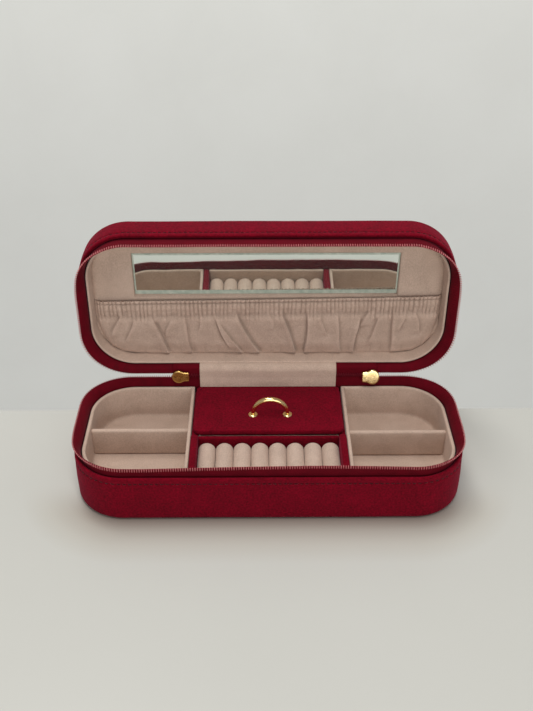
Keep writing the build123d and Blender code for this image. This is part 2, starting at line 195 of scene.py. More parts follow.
VELVET = fabric("velvet_crimson", (0.095, 0.0006, 0.0048), (0.150, 0.0009, 0.0082), (0.220, 0.0024, 0.0135),
                nap_scale=900, blotch=95, sheen=0.16, sheen_rough=0.5, sheen_tint=(1.0, 0.12, 0.24), rough=0.95, bump=0.6, grain=0.6)
LINING = fabric("lining_beige", (0.47, 0.345, 0.272), (0.55, 0.408, 0.325), (0.615, 0.468, 0.380),
                nap_scale=2100, blotch=85, sheen=0.20, sheen_rough=0.5, sheen_tint=(1.0, 0.9, 0.82), rough=0.92, bump=0.28)
ROLL = fabric("roll_beige", (0.50, 0.375, 0.300), (0.585, 0.440, 0.355), (0.65, 0.50, 0.41),
              nap_scale=2100, blotch=140, sheen=0.25, sheen_rough=0.5, sheen_tint=(1.0, 0.92, 0.85), rough=0.92, bump=0.28)
POCKET = fabric("pocket_beige", (0.425, 0.304, 0.240), (0.495, 0.360, 0.287), (0.565, 0.422, 0.343),
                nap_scale=1900, blotch=120, sheen=0.25, sheen_rough=0.5, sheen_tint=(1.0, 0.9, 0.84), rough=0.9, bump=0.25)
TAPE = fabric("zip_tape_crimson", (0.086, 0.0010, 0.0054), (0.124, 0.0016, 0.0078), (0.160, 0.0030, 0.0112),
              nap_scale=2600, blotch=160, sheen=0.08, sheen_rough=0.4, sheen_tint=(1.0, 0.3, 0.4), rough=0.8, bump=0.3, weave=420)
THREAD = fabric("thread_crimson", (0.030, 0.0008, 0.003), (0.048, 0.0012, 0.004), (0.075, 0.002, 0.006),
                nap_scale=4200, blotch=900, sheen=0.3, rough=0.6, bump=0.5)
THREAD_B = fabric("thread_beige", (0.40, 0.29, 0.22), (0.50, 0.37, 0.29), (0.60, 0.46, 0.37),
                  nap_scale=4200, blotch=900, sheen=0.2, rough=0.7, bump=0.5)
BOARD = fabric("grey_board", (0.22, 0.19, 0.15), (0.30, 0.26, 0.21), (0.37, 0.33, 0.27), nap_scale=900, blotch=200,
               sheen=0.0, rough=0.95, bump=0.3)
FOAM = fabric("white_foam", (0.62, 0.60, 0.52), (0.70, 0.68, 0.60), (0.78, 0.76, 0.69), nap_scale=1200, blotch=300,
              sheen=0.0, rough=0.95, bump=0.6)


def coil_mat():
    m, n, l, b, tc = base_mat("zip_coil_nylon")
    t = noise_node(n, l, tc, 800.0, 3.0)
    c = ramp(n, l, t.outputs["Fac"], [(0.3, (0.30, 0.058, 0.066)), (0.7, (0.56, 0.165, 0.168))])
    l.new(c.outputs["Color"], b.inputs["Base Color"])
    r = ramp(n, l, t.outputs["Fac"], [(0.3, (0.32,) * 3), (0.7, (0.5,) * 3)])
    l.new(r.outputs["Color"], b.inputs["Roughness"])
    bump_chain(n, l, b, [(t.outputs["Fac"], 0.2, 0.0001)])
    return m


def metal(name, c0, c1, r0, r1, scale=260.0, brush=None):
    m, n, l, b, tc = base_mat(name)
    t = noise_node(n, l, tc, scale, 5.0, 0.62, 0.3, mapping=brush)
    s = noise_node(n, l, tc, 5200.0, 2.0, 0.6)
    c = ramp(n, l, t.outputs["Fac"], [(0.25, c0), (0.75, c1)])
    l.new(c.outputs["Color"], b.inputs["Base Color"])
    r = ramp(n, l, t.outputs["Fac"], [(0.3, (r0,) * 3), (0.72, (r1,) * 3)])
    l.new(r.outputs["Color"], b.inputs["Roughness"])
    b.inputs["Metallic"].default_value = 1.0
    bump_chain(n, l, b, [(t.outputs["Fac"], 0.06, 0.0002), (s.outputs["Fac"], 0.08, 0.00004)])
    return m


def mirror_mat():
    m, n, l, b, tc = base_mat("mirror_silver")
    t = noise_node(n, l, tc, 22.0, 3.0, 0.5)
    s = noise_node(n, l, tc, 420.0, 4.0, 0.7)
    c = ramp(n, l, t.outputs["Fac"], [(0.3, (0.80, 0.855, 0.81)), (0.7, (0.85, 0.895, 0.855))])
    l.new(c.outputs["Color"], b.inputs["Base Color"])
    r = ramp(n, l, s.outputs["Fac"], [(0.45, (0.012,) * 3), (0.85, (0.06,) * 3)])
    l.new(r.outputs["Color"], b.inputs["Roughness"])
    b.inputs["Metallic"].default_value = 0.965
    bump_chain(n, l, b, [(t.outputs["Fac"], 0.10, 0.0006)])
    return m


def edge_mat():
    m, n, l, b, tc = base_mat("glass_edge_green")
    t = noise_node(n, l, tc, 300.0, 3.0)
    c = ramp(n, l, t.outputs["Fac"], [(0.3, (0.36, 0.43, 0.36)), (0.7, (0.55, 0.60, 0.51))])
    l.new(c.outputs["Color"], b.inputs["Base Color"])
    r = ramp(n, l, t.outputs["Fac"], [(0.3, (0.10,) * 3), (0.7, (0.22,) * 3)])
    l.new(r.outputs["Color"], b.inputs["Roughness"])
    return m


COIL = coil_mat()
CHAIN_M = fabric("zip_chain_nylon", (0.07, 0.002, 0.007), (0.12, 0.006, 0.013), (0.20, 0.02, 0.03), nap_scale=3000, blotch=700, sheen=0.0, rough=0.5, bump=0.2)
GOLD = metal("gold_plate", (0.93, 0.66, 0.27), (1.0, 0.78, 0.40), 0.12, 0.24)
# a darker, rougher copy of the gold, used only for the left slider's inner plate
GOLD_DARK = metal("gold_plate_darker", (0.60, 0.36, 0.11), (0.80, 0.52, 0.19), 0.18, 0.34, scale=420.0)
STEEL = metal("plain_steel", (0.50, 0.50, 0.50), (0.66, 0.66, 0.65), 0.25, 0.42, brush=(1, 6, 1))
MIRROR = mirror_mat()
GLASS_EDGE = edge_mat()
VELVET_DARK = fabric("velvet_crimson_fold", (0.045, 0.001, 0.004), (0.07, 0.0016, 0.006), (0.1, 0.003, 0.01),
                     nap_scale=1700, blotch=55, sheen=0.1, rough=0.95, bump=0.3)


# ------------------------------------------------------------------ mesh helpers
def make(name, verts, faces, mat, body=None, replaces=(), smooth=True, fix=True):
    me = bpy.data.meshes.new(name)
    me.from_pydata([tuple(map(float, v)) for v in verts], [], [tuple(map(int, f)) for f in faces])
    me.validate(clean_customdata=False)
    if fix:
        import bmesh
        bm = bmesh.new()
        bm.from_mesh(me)
        bmesh.ops.remove_doubles(bm, verts=bm.verts, dist=2e-6)
        bmesh.ops.recalc_face_normals(bm, faces=bm.faces)
        bm.to_mesh(me)
        bm.free()
    me.materials.append(mat)
    if smooth:
        for p in me.polygons:
            p.use_smooth = True
    ob = bpy.data.objects.new(name, me)
    bpy.context.scene.collection.objects.link(ob)
    if body:
        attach(ob, body)
    if replaces:
        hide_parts(*replaces)
    return ob


def grid_faces(nu, nv, close_u=False, close_v=False, off=0, flip=False):
    iu = np.arange(nu if close_u else nu - 1)
    iv = np.arange(nv if close_v else nv - 1)
    A, B = np.meshgrid(iu, iv, indexing="ij")
    a = A * nv + B
    b = ((A + 1) % nu) * nv + B
    c = ((A + 1) % nu) * nv + (B + 1) % nv
    d = A * nv + (B + 1) % nv
    F = np.stack([a, b, c, d], -1).reshape(-1, 4) + off
    return F[:, ::-1] if flip else F


def outline_at(s, hw=None, hd=None, r=None):
    """Rounded rectangle by arc length: u, v, outward normal. s=0 at the middle of the hinge side, going to +u."""
    hw = HW if hw is None else hw
    hd = YR if hd is None else hd
    r = RAD if r is None else r
    a, b, q = hw - r, hd - r, math.pi / 2 * r
    seg = [a, q, 2 * b, q, 2 * a, q, 2 * b, q, a]
    cum = np.concatenate([[0], np.cumsum(seg)])
    s = np.mod(np.asarray(s, float), cum[-1])
    k = np.clip(np.searchsorted(cum, s, side="right") - 1, 0, 8)
    t = s - cum[k]
    u = np.zeros_like(s); v = np.zeros_like(s); nu = np.zeros_like(s); nv = np.zeros_like(s)
    def put(i, uu, vv, x, y):
        m = k == i
        u[m], v[m], nu[m], nv[m] = uu[m], vv[m], (x[m] if hasattr(x, "__len__") else x), (y[m] if hasattr(y, "__len__") else y)
    th = t / r
    put(0, t, hd + 0 * t, 0, 1)
    put(1, a + r * np.sin(th), b + r * np.cos(th), np.sin(th), np.cos(th))
    put(2, hw + 0 * t, b - t, 1, 0)
    put(3, a + r * np.cos(th), -b - r * np.sin(th), np.cos(th), -np.sin(th))
    put(4, a - t, -hd + 0 * t, 0, -1)
    put(5, -a - r * np.sin(th), -b - r * np.cos(th), -np.sin(th), -np.cos(th))
    put(6, -hw + 0 * t, -b + t, -1, 0)
    put(7, -a - r * np.cos(th), b + r * np.sin(th), -np.cos(th), np.sin(th))
    put(8, -a + t, hd + 0 * t, 0, 1)
    return u, v, nu, nv, cum[-1]


PERIM = float(outline_at(np.array([0.0]))[4])
NS = 520
SS = np.arange(NS) * PERIM / NS


def vnoise(P, scale, seed=0.0):
    """Smooth value noise at points P (n,3), -1..1."""
    return np.array([noise.noise(Vector((p[0] * scale + seed, p[1] * scale - seed, p[2] * scale + 3.1 * seed))) for p in P])


def ring(place, prof, s=SS, closed=True):
    """Sweeps a profile of (d, h) round the outline. prof is (n,2), or (len(s), n, 2)."""
    u, v, nu, nv, _ = outline_at(s)
    prof = np.asarray(prof, float)
    if prof.ndim == 2:
        prof = np.broadcast_to(prof, (len(s),) + prof.shape)
    d, h = prof[..., 0], prof[..., 1]
    return place(u[:, None] + nu[:, None] * d, v[:, None] + nv[:, None] * d, h)


def arcs(p0, p1, p2, n=5):
    """Quadratic curve p0 p2 pulled to p1."""
    t = np.linspace(0, 1, n + 1)[:, None]
    p0, p1, p2 = map(np.asarray, (p0, p1, p2))
    return (1 - t) ** 2 * p0 + 2 * t * (1 - t) * p1 + t ** 2 * p2


def poly(*parts):
    out = []
    for p in parts:
        for q in np.atleast_2d(np.asarray(p, float)):
            if not out or np.linalg.norm(q - out[-1]) > 1e-7:
                out.append(q)
    return np.array(out)


def fill_line(pts, step):
    out = [pts[0]]
    for a, b in zip(pts[:-1], pts[1:]):
        n = max(1, int(np.ceil(np.linalg.norm(b - a) / step)))
        for i in range(1, n + 1):
            out.append(a + (b - a) * i / n)
    return np.array(out)


def beads(frames, size, nseg=8, nring=5, power=0.75):
    """Rounded beads: frames is (n, 4, 3) of centre and three axes; size is the three half lengths."""
    th = np.linspace(0, math.pi, nring + 2)[1:-1]
    ph = np.arange(nseg) * 2 * math.pi / nseg
    def sp(x):
        return np.sign(x) * np.abs(x) ** power
    V = [(0, 0, 1.0)] + [(sp(np.sin(t)) * sp(np.cos(p)), sp(np.sin(t)) * sp(np.sin(p)), sp(np.cos(t))) for t in th for p in ph] + [(0, 0, -1.0)]
    V = np.array(V) * np.array(size)
    F = [(0, 1 + i, 1 + (i + 1) % nseg) for i in range(nseg)]
    for k in range(nring - 1):
        for i in range(nseg):
            a = 1 + k * nseg + i; b = 1 + k * nseg + (i + 1) % nseg
            F.append((a, a + nseg, b + nseg, b))
    last = 1 + nring * nseg
    F += [(last, last - nseg + (i + 1) % nseg, last - nseg + i) for i in range(nseg)]
    n = len(frames)
    out = frames[:, 0][:, None, :] + V[None, :, 0:1] * frames[:, 1][:, None, :] + V[None, :, 1:2] * frames[:, 2][:, None, :] + V[None, :, 2:3] * frames[:, 3][:, None, :]
    faces = []
    for i in range(n):
        o = i * len(V)
        faces += [tuple(x + o for x in f) for f in F]
    return out.reshape(-1, 3), faces


def norm(a):
    return a / np.maximum(np.linalg.norm(a, axis=-1, keepdims=True), 1e-12)


def soft_box(name, lo, hi, r, mat, body, replaces=(), step=1.2 * MM, amp=0.0, nscale=90.0, warp=None, seed=1.0):
    """Fabric-covered block: rounded edges, a faint unevenness, dense enough to carry it."""
    lo, hi = np.array(lo, float), np.array(hi, float)
    V, F, off = [], [], 0
    def cuts(a, b):
        n = max(2, int((b - a - 2 * r) / step))
        t = np.linspace(a + r, b - r, n + 1)
        e = np.array([0, 0.3, 0.65]) * r
        return np.concatenate([a + e, t, (b - e)[::-1]])
    C = [cuts(lo[i], hi[i]) for i in range(3)]
    for ax in range(3):
        i, j = [(1, 2), (2, 0), (0, 1)][ax]
        for side, val in ((0, lo[ax]), (1, hi[ax])):
            A, B = np.meshgrid(C[i], C[j], indexing="ij")
            P = np.zeros(A.shape + (3,))
            P[..., i], P[..., j], P[..., ax] = A, B, val
            V.append(P.reshape(-1, 3))
            F.append(grid_faces(len(C[i]), len(C[j]), off=off, flip=(side == 0)))
            off += A.size
    P = np.concatenate(V)
    c = np.clip(P, lo + r, hi - r)
    nrm = norm(P - c + 1e-15)
    P2 = c + nrm * r
    if amp:
        P2 = P2 + nrm * (amp * vnoise(P2, nscale, seed))[:, None]
    if warp is not None:
        P2 = warp(P2, nrm)
    return make(name, P2, np.concatenate(F), mat, body, replaces)


def round_poly(corners, step=1.6 * MM):
    """Closed convex loop from corners (x, y, r), counter-clockwise: points and outward normals. r = 0 keeps a mitred corner."""
    n = len(corners)
    C = np.array([c[:2] for c in corners], float)
    R = [c[2] for c in corners]
    def edge(i):
        d = norm(C[(i + 1) % n] - C[i % n])
        return d, np.array([d[1], -d[0]])
    def tan_len(i):
        if R[i % n] < 1e-9:
            return 0.0
        d0, _ = edge(i - 1); d1, _ = edge(i)
        return R[i % n] * math.tan(math.acos(np.clip(d0 @ d1, -1, 1)) / 2)
    P, N = [], []
    for i in range(n):
        d0, n0 = edge(i - 1); d1, n1 = edge(i)
        if R[i] < 1e-9:
            P.append(C[i]); N.append((n0 + n1) / (1 + n0 @ n1))
        else:
            t = tan_len(i)
            cen = C[i] - d0 * t - n0 * R[i]
            th = math.acos(np.clip(n0 @ n1, -1, 1))
            m = max(4, int(th * R[i] / step) + 1)
            for k in range(m + 1):
                q = k / m
                w = (math.sin((1 - q) * th) * n0 + math.sin(q * th) * n1) / math.sin(th)
                P.append(cen + w * R[i]); N.append(w)
        s1 = C[i] + d1 * tan_len(i)
        e = C[(i + 1) % n] - d1 * tan_len(i + 1)
        m = max(1, int(np.linalg.norm(e - s1) / step))
        for k in range(1, m):
            P.append(s1 + (e - s1) * k / m); N.append(n1)
        if R[i] < 1e-9 and m == 1 and False:
            P.append(e); N.append(n1)
    return np.array(P), np.array(N)


def cap_mesh(loop, step):
    """Fills a closed plan loop with an even grid: extra points (n, 2) and triangles over loop points, then extra points."""
    from mathutils.geometry import delaunay_2d_cdt
    lo, hi = loop.min(0), loop.max(0)
    nx, ny = max(2, int((hi[0] - lo[0]) / step)), max(2, int((hi[1] - lo[1]) / step))
    gx = np.linspace(lo[0], hi[0], nx + 1)[1:-1]; gy = np.linspace(lo[1], hi[1], ny + 1)[1:-1]
    A, B = np.meshgrid(gx, gy, indexing="ij")
    G = np.stack([A.ravel(), B.ravel()], -1)
    n = len(loop)
    a, b = loop, np.roll(loop, -1, 0)
    e = b - a
    cross = e[None, :, 0] * (G[:, None, 1] - a[None, :, 1]) - e[None, :, 1] * (G[:, None, 0] - a[None, :, 0])
    area = 0.5 * np.sum(a[:, 0] * b[:, 1] - a[:, 1] * b[:, 0])
    inside = np.all(cross * np.sign(area) > 0, axis=1)
    dist = np.min(np.linalg.norm(G[:, None] - loop[None], axis=-1), axis=1)
    G = G[inside & (dist > 0.5 * step)]
    pts = [Vector(p) for p in np.concatenate([loop, G])]
    edges = [(i, (i + 1) % n) for i in range(n)]
    r = delaunay_2d_cdt(pts, edges, [], 1, 1e-9)
    co = np.array([tuple(p) for p in r[0]])
    orig = [o[0] if len(o) else -1 for o in r[3]]
    return G, [tuple(orig[k] for k in f) for f in r[2] if all(orig[k] >= 0 for k in f)]


def loop_solid(name, P, N, prof, place, mat, body, replaces=(), cap0=None, cap1=None, crown0=0.0, crown1=0.0,
               rings=14, amp=0.0, nscale=60.0, seed=1.0, centre=None, step=2.2 * MM):
    """Sweeps a profile of (d, h) round a plan loop, and closes its first or last line with a fine grid."""
    prof = np.asarray(prof, float)
    u = P[:, 0][:, None] + N[:, 0][:, None] * prof[:, 0]
    v = P[:, 1][:, None] + N[:, 1][:, None] * prof[:, 0]
    h = np.broadcast_to(prof[:, 1], u.shape)
    V = [np.stack([u, v, h], -1).reshape(-1, 3)]
    faces = [tuple(f) for f in grid_faces(len(P), len(prof), close_u=True)]
    off = len(V[0])
    m = len(prof)
    for cap, j, crown in ((cap0, 0, crown0), (cap1, m - 1, crown1)):
        if not cap:
            continue
        ed = np.stack([u[:, j], v[:, j]], -1)
        G, tris = cap_mesh(ed, step)
        n = len(P)
        if len(G):
            dd = np.min(np.linalg.norm(G[:, None] - ed[None], axis=-1), axis=1)
            z = prof[j, 1] + crown * (1 - np.exp(-dd / (5 * step)))
            V.append(np.concatenate([G, z[:, None]], 1))
        for f in tris:
            faces.append(tuple(k * m + j if k < n else off + k - n for k in f))
        off += len(G)
    W = np.concatenate(V)
    if amp:
        W[:, 2] += amp * vnoise(W, nscale, seed)
    X = place(W[:, 0], W[:, 1], W[:, 2])
    return make(name, X, faces, mat, body, replaces)


def tube(name, pts, radii, mat, body, replaces=(), n=14, caps=True, squash=1.0):
    pts = np.asarray(pts, float)
    T = norm(np.gradient(pts, axis=0))
    ref = np.array([0, 1.0, 0])
    if abs(T[0] @ ref) > 0.9:
        ref = np.array([0, 0, 1.0])
    B = norm(np.cross(T, ref)); A = np.cross(B, T)
    ph = np.arange(n) * 2 * math.pi / n
    R = np.asarray(radii, float)[:, None, None]
    V = pts[:, None, :] + R * (np.cos(ph)[None, :, None] * A[:, None, :] * squash + np.sin(ph)[None, :, None] * B[:, None, :])
    F = [tuple(f) for f in grid_faces(len(pts), n, close_v=True)]
    W = V.reshape(-1, 3)
    if caps:
        W = np.concatenate([W, pts[:1], pts[-1:]])
        a, b = len(W) - 2, len(W) - 1
        F += [(a, (i + 1) % n, i) for i in range(n)]
        o = (len(pts) - 1) * n
        F += [(b, o + i, o + (i + 1) % n) for i in range(n)]
    return make(name, W, F, mat, body, replaces)


def sstep(x, a, b):
    t = np.clip((x - a) / (b - a), 0, 1)
    return t * t * (3 - 2 * t)


# ------------------------------------------------------------------ base shell
su, sv, snu, snv, _ = outline_at(SS)
OP, ON = np.stack([su, sv], -1), np.stack([snu, snv], -1)


def mmp(*pts):
    return [np.array(p, float) * MM for p in pts]


def z2h(z):
    return z - 27.7


base_prof = poly(arcs(*mmp((0.6, z2h(0.0)), (3.95, z2h(-0.05)), (3.85, z2h(4.2))), n=8),
                 *mmp((4.02, z2h(9)), (4.08, z2h(14)), (4.0, z2h(19)), (3.88, z2h(23.4)), (3.74, z2h(24.1)),
                      (3.48, z2h(24.6)), (3.76, z2h(25.15)), (3.94, z2h(25.9)), (3.9, z2h(26.9))),
                 arcs(*mmp((3.9, z2h(26.9)), (3.8, z2h(28.45)), (2.8, z2h(28.3))), n=6),
                 *mmp((2.1, z2h(27.8)), (1.5, z2h(27.3)), (1.15, z2h(26.4)), (1.1, z2h(25.0))))
base_prof = fill_line(base_prof, 0.9 * MM)


def skin_wobble(place, mat_seed):
    return None


def shell(name, prof, place, body, node, seed, cap_h):
    """Velvet shell of the case: swept wall, slightly uneven as glued fabric is, with its flat end closed."""
    P, N = OP, ON
    prof = np.asarray(prof)
    u = P[:, 0][:, None] + N[:, 0][:, None] * prof[:, 0]
    v = P[:, 1][:, None] + N[:, 1][:, None] * prof[:, 0]
    h = np.broadcast_to(prof[:, 1], u.shape).copy()
    W = np.stack([u, v, h], -1)
    amp = 0.16 * MM * vnoise(W.reshape(-1, 3), 38.0, seed).reshape(u.shape) + 0.05 * MM * vnoise(W.reshape(-1, 3), 170.0, seed + 2).reshape(u.shape)
    W[..., 0] += N[:, 0][:, None] * amp
    W[..., 1] += N[:, 1][:, None] * amp
    V = [W.reshape(-1, 3)]
    F = [grid_faces(len(P), len(prof), close_u=True)]
    off = len(V[0])
    k = 26
    ed = W[:, 0]
    R = []
    for t in np.linspace(0, 1, k + 1)[1:-1]:
        q = ed.copy()
        q[:, 0] *= (1 - t); q[:, 1] *= (1 - t)
        # the closed end is a plate: rings shrink towards its middle and close on a single point
        q[:, 0] = np.sign(ed[:, 0]) * np.maximum(np.abs(ed[:, 0]) - t * YR, 0) if False else ed[:, 0] * (1 - t)
        q[:, 2] = cap_h
        R.append(q)
    R = np.stack(R, 1)
    V.append(R.reshape(-1, 3)); off2 = off + R.shape[0] * R.shape[1]
    V.append(np.array([[0, 0, cap_h]]))
    i = np.arange(len(P)); i2 = (i + 1) % len(P); kk = k - 1
    F.append(np.stack([i * len(prof), i2 * len(prof), off + i2 * kk, off + i * kk], -1))
    for q in range(kk - 1):
        F.append(np.stack([off + i * kk + q, off + i2 * kk + q, off + i2 * kk + q + 1, off + i * kk + q + 1], -1))
    tri = [(off + a * kk + kk - 1, off + b * kk + kk - 1, off2) for a, b in zip(i, i2)]
    W = np.concatenate(V)
    X = place(W[:, 0], W[:, 1], W[:, 2])
    faces = [tuple(f) for f in np.concatenate(F)] + tri
    return make(name, X, faces, VELVET, body, [node])


base_shell = shell("base_velvet_cover", base_prof, PB, "base", "base_cover", 3.0, z2h(0.0) * MM)

lid_prof = poly(arcs(*mmp((0.2, -19.3), (3.95, -19.4), (3.85, -14.9)), n=9),
                *mmp((4.02, -10.5), (4.06, -7), (3.94, -4.2), (3.76, -3.6), (3.5, -3.1), (3.76, -2.6), (3.92, -1.8), (3.9, -1.2)),
                arcs(*mmp((3.9, -1.2), (3.8, 0.35), (2.8, 0.15)), n=6), *mmp((2.1, -0.35), (1.5, -0.8), (1.15, -1.6), (1.1, -3.2)))
lid_prof = fill_line(lid_prof, 0.9 * MM)
lid_shell = shell("lid_velvet_cover", lid_prof, PL, "lid", "lid_cover", 7.0, -19.3 * MM)


# stitch lines: one thread dash after another in the groove
def stitches(name, place, d, h, body, pitch=2.75 * MM, s0=0.0, s1=None, mat=None, r=0.26, inward=False, w=None, L=1.0):
    s1 = PERIM if s1 is None else s1
    n = int((s1 - s0) / pitch)
    s = s0 + (np.arange(n) + 0.5) * (s1 - s0) / n
    u, v, nu, nv, _ = outline_at(s)
    C = place(u + nu * d, v + nv * d, np.full(n, h))
    e = 0.2 * MM
    u2, v2, nu2, nv2, _ = outline_at(s + e)
    T = norm(place(u2 + nu2 * d, v2 + nv2 * d, np.full(n, h)) - C)
    O = norm(place(u + nu * (d + e), v + nv * (d + e), np.full(n, h)) - C)
    U = np.cross(T, O)
    T2 = norm(T + 0.10 * U)
    V, F = beads(np.stack([C, O, U, T2], 1), (r * MM, r * MM, L * MM), nseg=7, nring=4, power=0.9)
    return make(name, V, F, mat or THREAD, body)


stitches("base_edge_stitches", PB, 3.66 * MM, z2h(24.6) * MM, "base")
stitches("lid_edge_stitches", PL, 3.68 * MM, -3.1 * MM, "lid")


def board_ring(name, place, h0, h1, body, node):
    pr = fill_line(np.array([(1.45, h0), (1.45, h1), (2.6, h1), (2.6, h0)]) * MM, 3 * MM)
    W = ring(place, pr)
    return make(name, W.reshape(-1, 3), grid_faces(W.shape[0], W.shape[1], close_u=True, close_v=True), BOARD, body, [node], smooth=False)


board_ring("base_wall_board_ring", PB, z2h(1.2), z2h(26.2), "base", "base_wall_board")
board_ring("lid_wall_board_ring", PL, -15.6, -1.8, "lid", "lid_wall_board")

# ------------------------------------------------------------------ zip tapes
HALF_F = PERIM / 2                       # s at the middle of the front (or top of the lid)


def around(s):
    """0 at the hinge straight, 1 along the ends, 2 at the front straight; smooth in the corners."""
    a, q = HW - RAD, math.pi / 2 * RAD
    b = 2 * (YR - RAD)
    s = np.minimum(s, PERIM - s)
    return sstep(s, a - 2 * MM, a + q * 0.75) + sstep(s, a + q + 0.7 * b, a + 1.85 * q + b)


def free_edge(s, lidside):
    """Offset and height of the tape's free edge round the case."""
    w = around(s)
    u = outline_at(s)[0]
    if not lidside:
        wave = np.interp(u, np.array([-100, -75, -65, -36, -7, 21, 40, 59, 78, 100]) * MM,
                         np.array([-0.9, -1.3, -1.4, -0.4, 0.5, 1.0, 0.8, 0.3, -0.4, -0.6]) * MM)
        near = np.clip(w, 0, 1); far = np.clip(w - 1, 0, 1)
        D = 0.85 * MM + (5.2 - 0.85) * MM * near + (1.15 - 5.2) * MM * far
        H = 6.35 * MM + (5.0 - 6.35) * MM * near + (6.2 - 5.0) * MM * far + wave * far * 0.9
    else:
        near = np.clip(w, 0, 1); far = np.clip(w - 1, 0, 1)
        D = 5.3 * MM + (5.35 - 5.3) * MM * near + (0.45 - 5.35) * MM * far
        H = 2.95 * MM + (5.7 - 2.95) * MM * near + (8.1 - 5.7) * MM * far
    # nothing in cloth runs dead straight
    P = np.stack([u, outline_at(s)[1], 0 * u], -1)
    D = D + 0.22 * MM * vnoise(P, 30.0, 5.0 + lidside) * near
    H = H + 0.18 * MM * vnoise(P, 26.0, 9.0 + lidside) * near
    return D, H


def tape(name, place, body, node, lidside, slack):
    """Half of the zip: a woven tape that rises from between lining and velvet and leans outwards at the ends."""
    s = SS
    D, H = free_edge(s, lidside)
    n = 15
    t = np.linspace(0, 0.92, n)
    prof = np.zeros((len(s), n, 2))
    for i in range(len(s)):
        p0 = np.array([0.85 * MM, 0.4 * MM])
        far = np.clip(around(s[i:i + 1]) - 1, 0, 1)[0]
        near = np.clip(around(s[i:i + 1]), 0, 1)[0]
        p2 = np.array([D[i], H[i]])
        if lidside:
            hx = 1.1 * MM
            c = np.array([1.0 * MM + 0.2 * MM * far, (3.35 + 1.4 * far) * MM])
            c = c * near + np.array([1.3 * MM, 2.95 * MM]) * (1 - near)
        else:
            c = np.array([(1.9 - 0.8 * far) * MM, (3.9 + 0.5 * far) * MM]) * near + np.array([0.95 * MM, 3.5 * MM]) * (1 - near)
        prof[i] = (1 - t)[:, None] ** 2 * p0 + 2 * (t * (1 - t))[:, None] * c + (t ** 2)[:, None] * p2
    # thickness: offset both ways, closed round the free edge
    tan = np.gradient(prof, axis=1)
    tan /= np.maximum(np.linalg.norm(tan, axis=-1, keepdims=True), 1e-12)
    nr = np.stack([tan[..., 1], -tan[..., 0]], -1)
    th = 0.27 * MM
    tip = prof[:, -1:] + tan[:, -1:] * th * 0.8
    closed = np.concatenate([prof + nr * th, tip, (prof - nr * th)[:, ::-1]], 1)
    low = closed[:, :1].copy(); low[..., 1] -= 6 * MM
    low2 = closed[:, -1:].copy(); low2[..., 1] -= 6 * MM
    closed = np.concatenate([low, closed, low2], 1)
    W = ring(place, closed)
    F = grid_faces(W.shape[0], W.shape[1], close_u=True, close_v=True)
    keep = None
    ob = make(name, W.reshape(-1, 3), F, TAPE, body, [node])
    return ob, D, H, tan


base_tape, bD, bH, bT = tape("base_zip_tape_woven", PB, "base", "base_zip_tape", False, 0)


def teeth(name, place, s, D, H, TT, body, node, side=-1.0, pitch=1.24, size=(1.18, 0.52, 0.31), lift=0.44):
    n = int((s[-1] - s[0]) / (pitch * MM))
    q = np.linspace(s[0], s[-1], n)
    d = np.interp(q, s, D); h = np.interp(q, s, H)
    td = np.interp(q, s, TT[:, -1, 0]); th = np.interp(q, s, TT[:, -1, 1])
    L = np.hypot(td, th); td, th = td / L, th / L
    u, v, nu, nv, _ = outline_at(q)
    # the coil sits on the inner face of the tape, just short of its free edge
    dd = d - td * 0.7 * MM - side * th * lift * MM
    hh = h - th * 0.7 * MM + side * td * lift * MM
    C = place(u + nu * dd, v + nv * dd, hh)
    e = 0.2 * MM
    A = norm(place(u + nu * (dd + td * e), v + nv * (dd + td * e), hh + th * e) - C)
    u2, v2, nu2, nv2, _ = outline_at(q + e)
    T = norm(place(u2 + nu2 * dd, v2 + nv2 * dd, hh) - C)
    B = np.cross(T, A)
    V, F = beads(np.stack([C, A, B, norm(T + 0.16 * A)], 1), tuple(x * MM for x in size), nseg=8, nring=4, power=0.8)
    return make(name, V, F, COIL, body, [node] if node else ())


teeth("base_zip_teeth", PB, np.append(SS, PERIM), np.append(bD, bD[0]), np.append(bH, bH[0]), np.concatenate([bT, bT[:1]]), "base", "base_zip_coil")

# lid tape: everywhere but the closed stretch at the hinge, where the band below takes over
BAND_L, BAND_R = -55.0 * MM, 63.0 * MM
lid_s = np.linspace(BAND_R, PERIM + BAND_L, 470)


def tape_open(name, place, s, lidside, body, node):
    D, H = free_edge(s, lidside)
    near = np.clip(around(s), 0, 1); far = np.clip(around(s) - 1, 0, 1)
    n = 15
    t = np.linspace(0, 0.92, n)[None, :, None]
    p0 = np.stack([np.full(len(s), 0.85 * MM), np.full(len(s), 0.4 * MM)], -1)[:, None]
    p2 = np.stack([D, H], -1)[:, None]
    c_far = np.stack([(1.3 + 0.4 * far) * MM, (3.0 + 1.6 * far) * MM], -1)
    c = (c_far * near[:, None] + np.array([1.3, 2.95]) * MM * (1 - near)[:, None])[:, None]
    prof = (1 - t) ** 2 * p0 + 2 * t * (1 - t) * c + t ** 2 * p2
    tan = np.gradient(prof, axis=1)
    tan /= np.maximum(np.linalg.norm(tan, axis=-1, keepdims=True), 1e-12)
    nr = np.stack([tan[..., 1], -tan[..., 0]], -1)
    th = 0.27 * MM
    tip = prof[:, -1:] + tan[:, -1:] * th * 0.8
    closed = np.concatenate([prof + nr * th, tip, (prof - nr * th)[:, ::-1]], 1)
    low = closed[:, :1].copy(); low[..., 1] -= 5 * MM
    low2 = closed[:, -1:].copy(); low2[..., 1] -= 5 * MM
    closed = np.concatenate([low, closed, low2], 1)
    W = ring(place, closed, s)
    F = [tuple(f) for f in grid_faces(W.shape[0], W.shape[1], close_v=True)]
    m = W.shape[1]
    F += [tuple(range(m)), tuple((W.shape[0] - 1) * m + i for i in range(m))[::-1]]
    return make(name, W.reshape(-1, 3), F, TAPE, body, [node]), D, H, tan


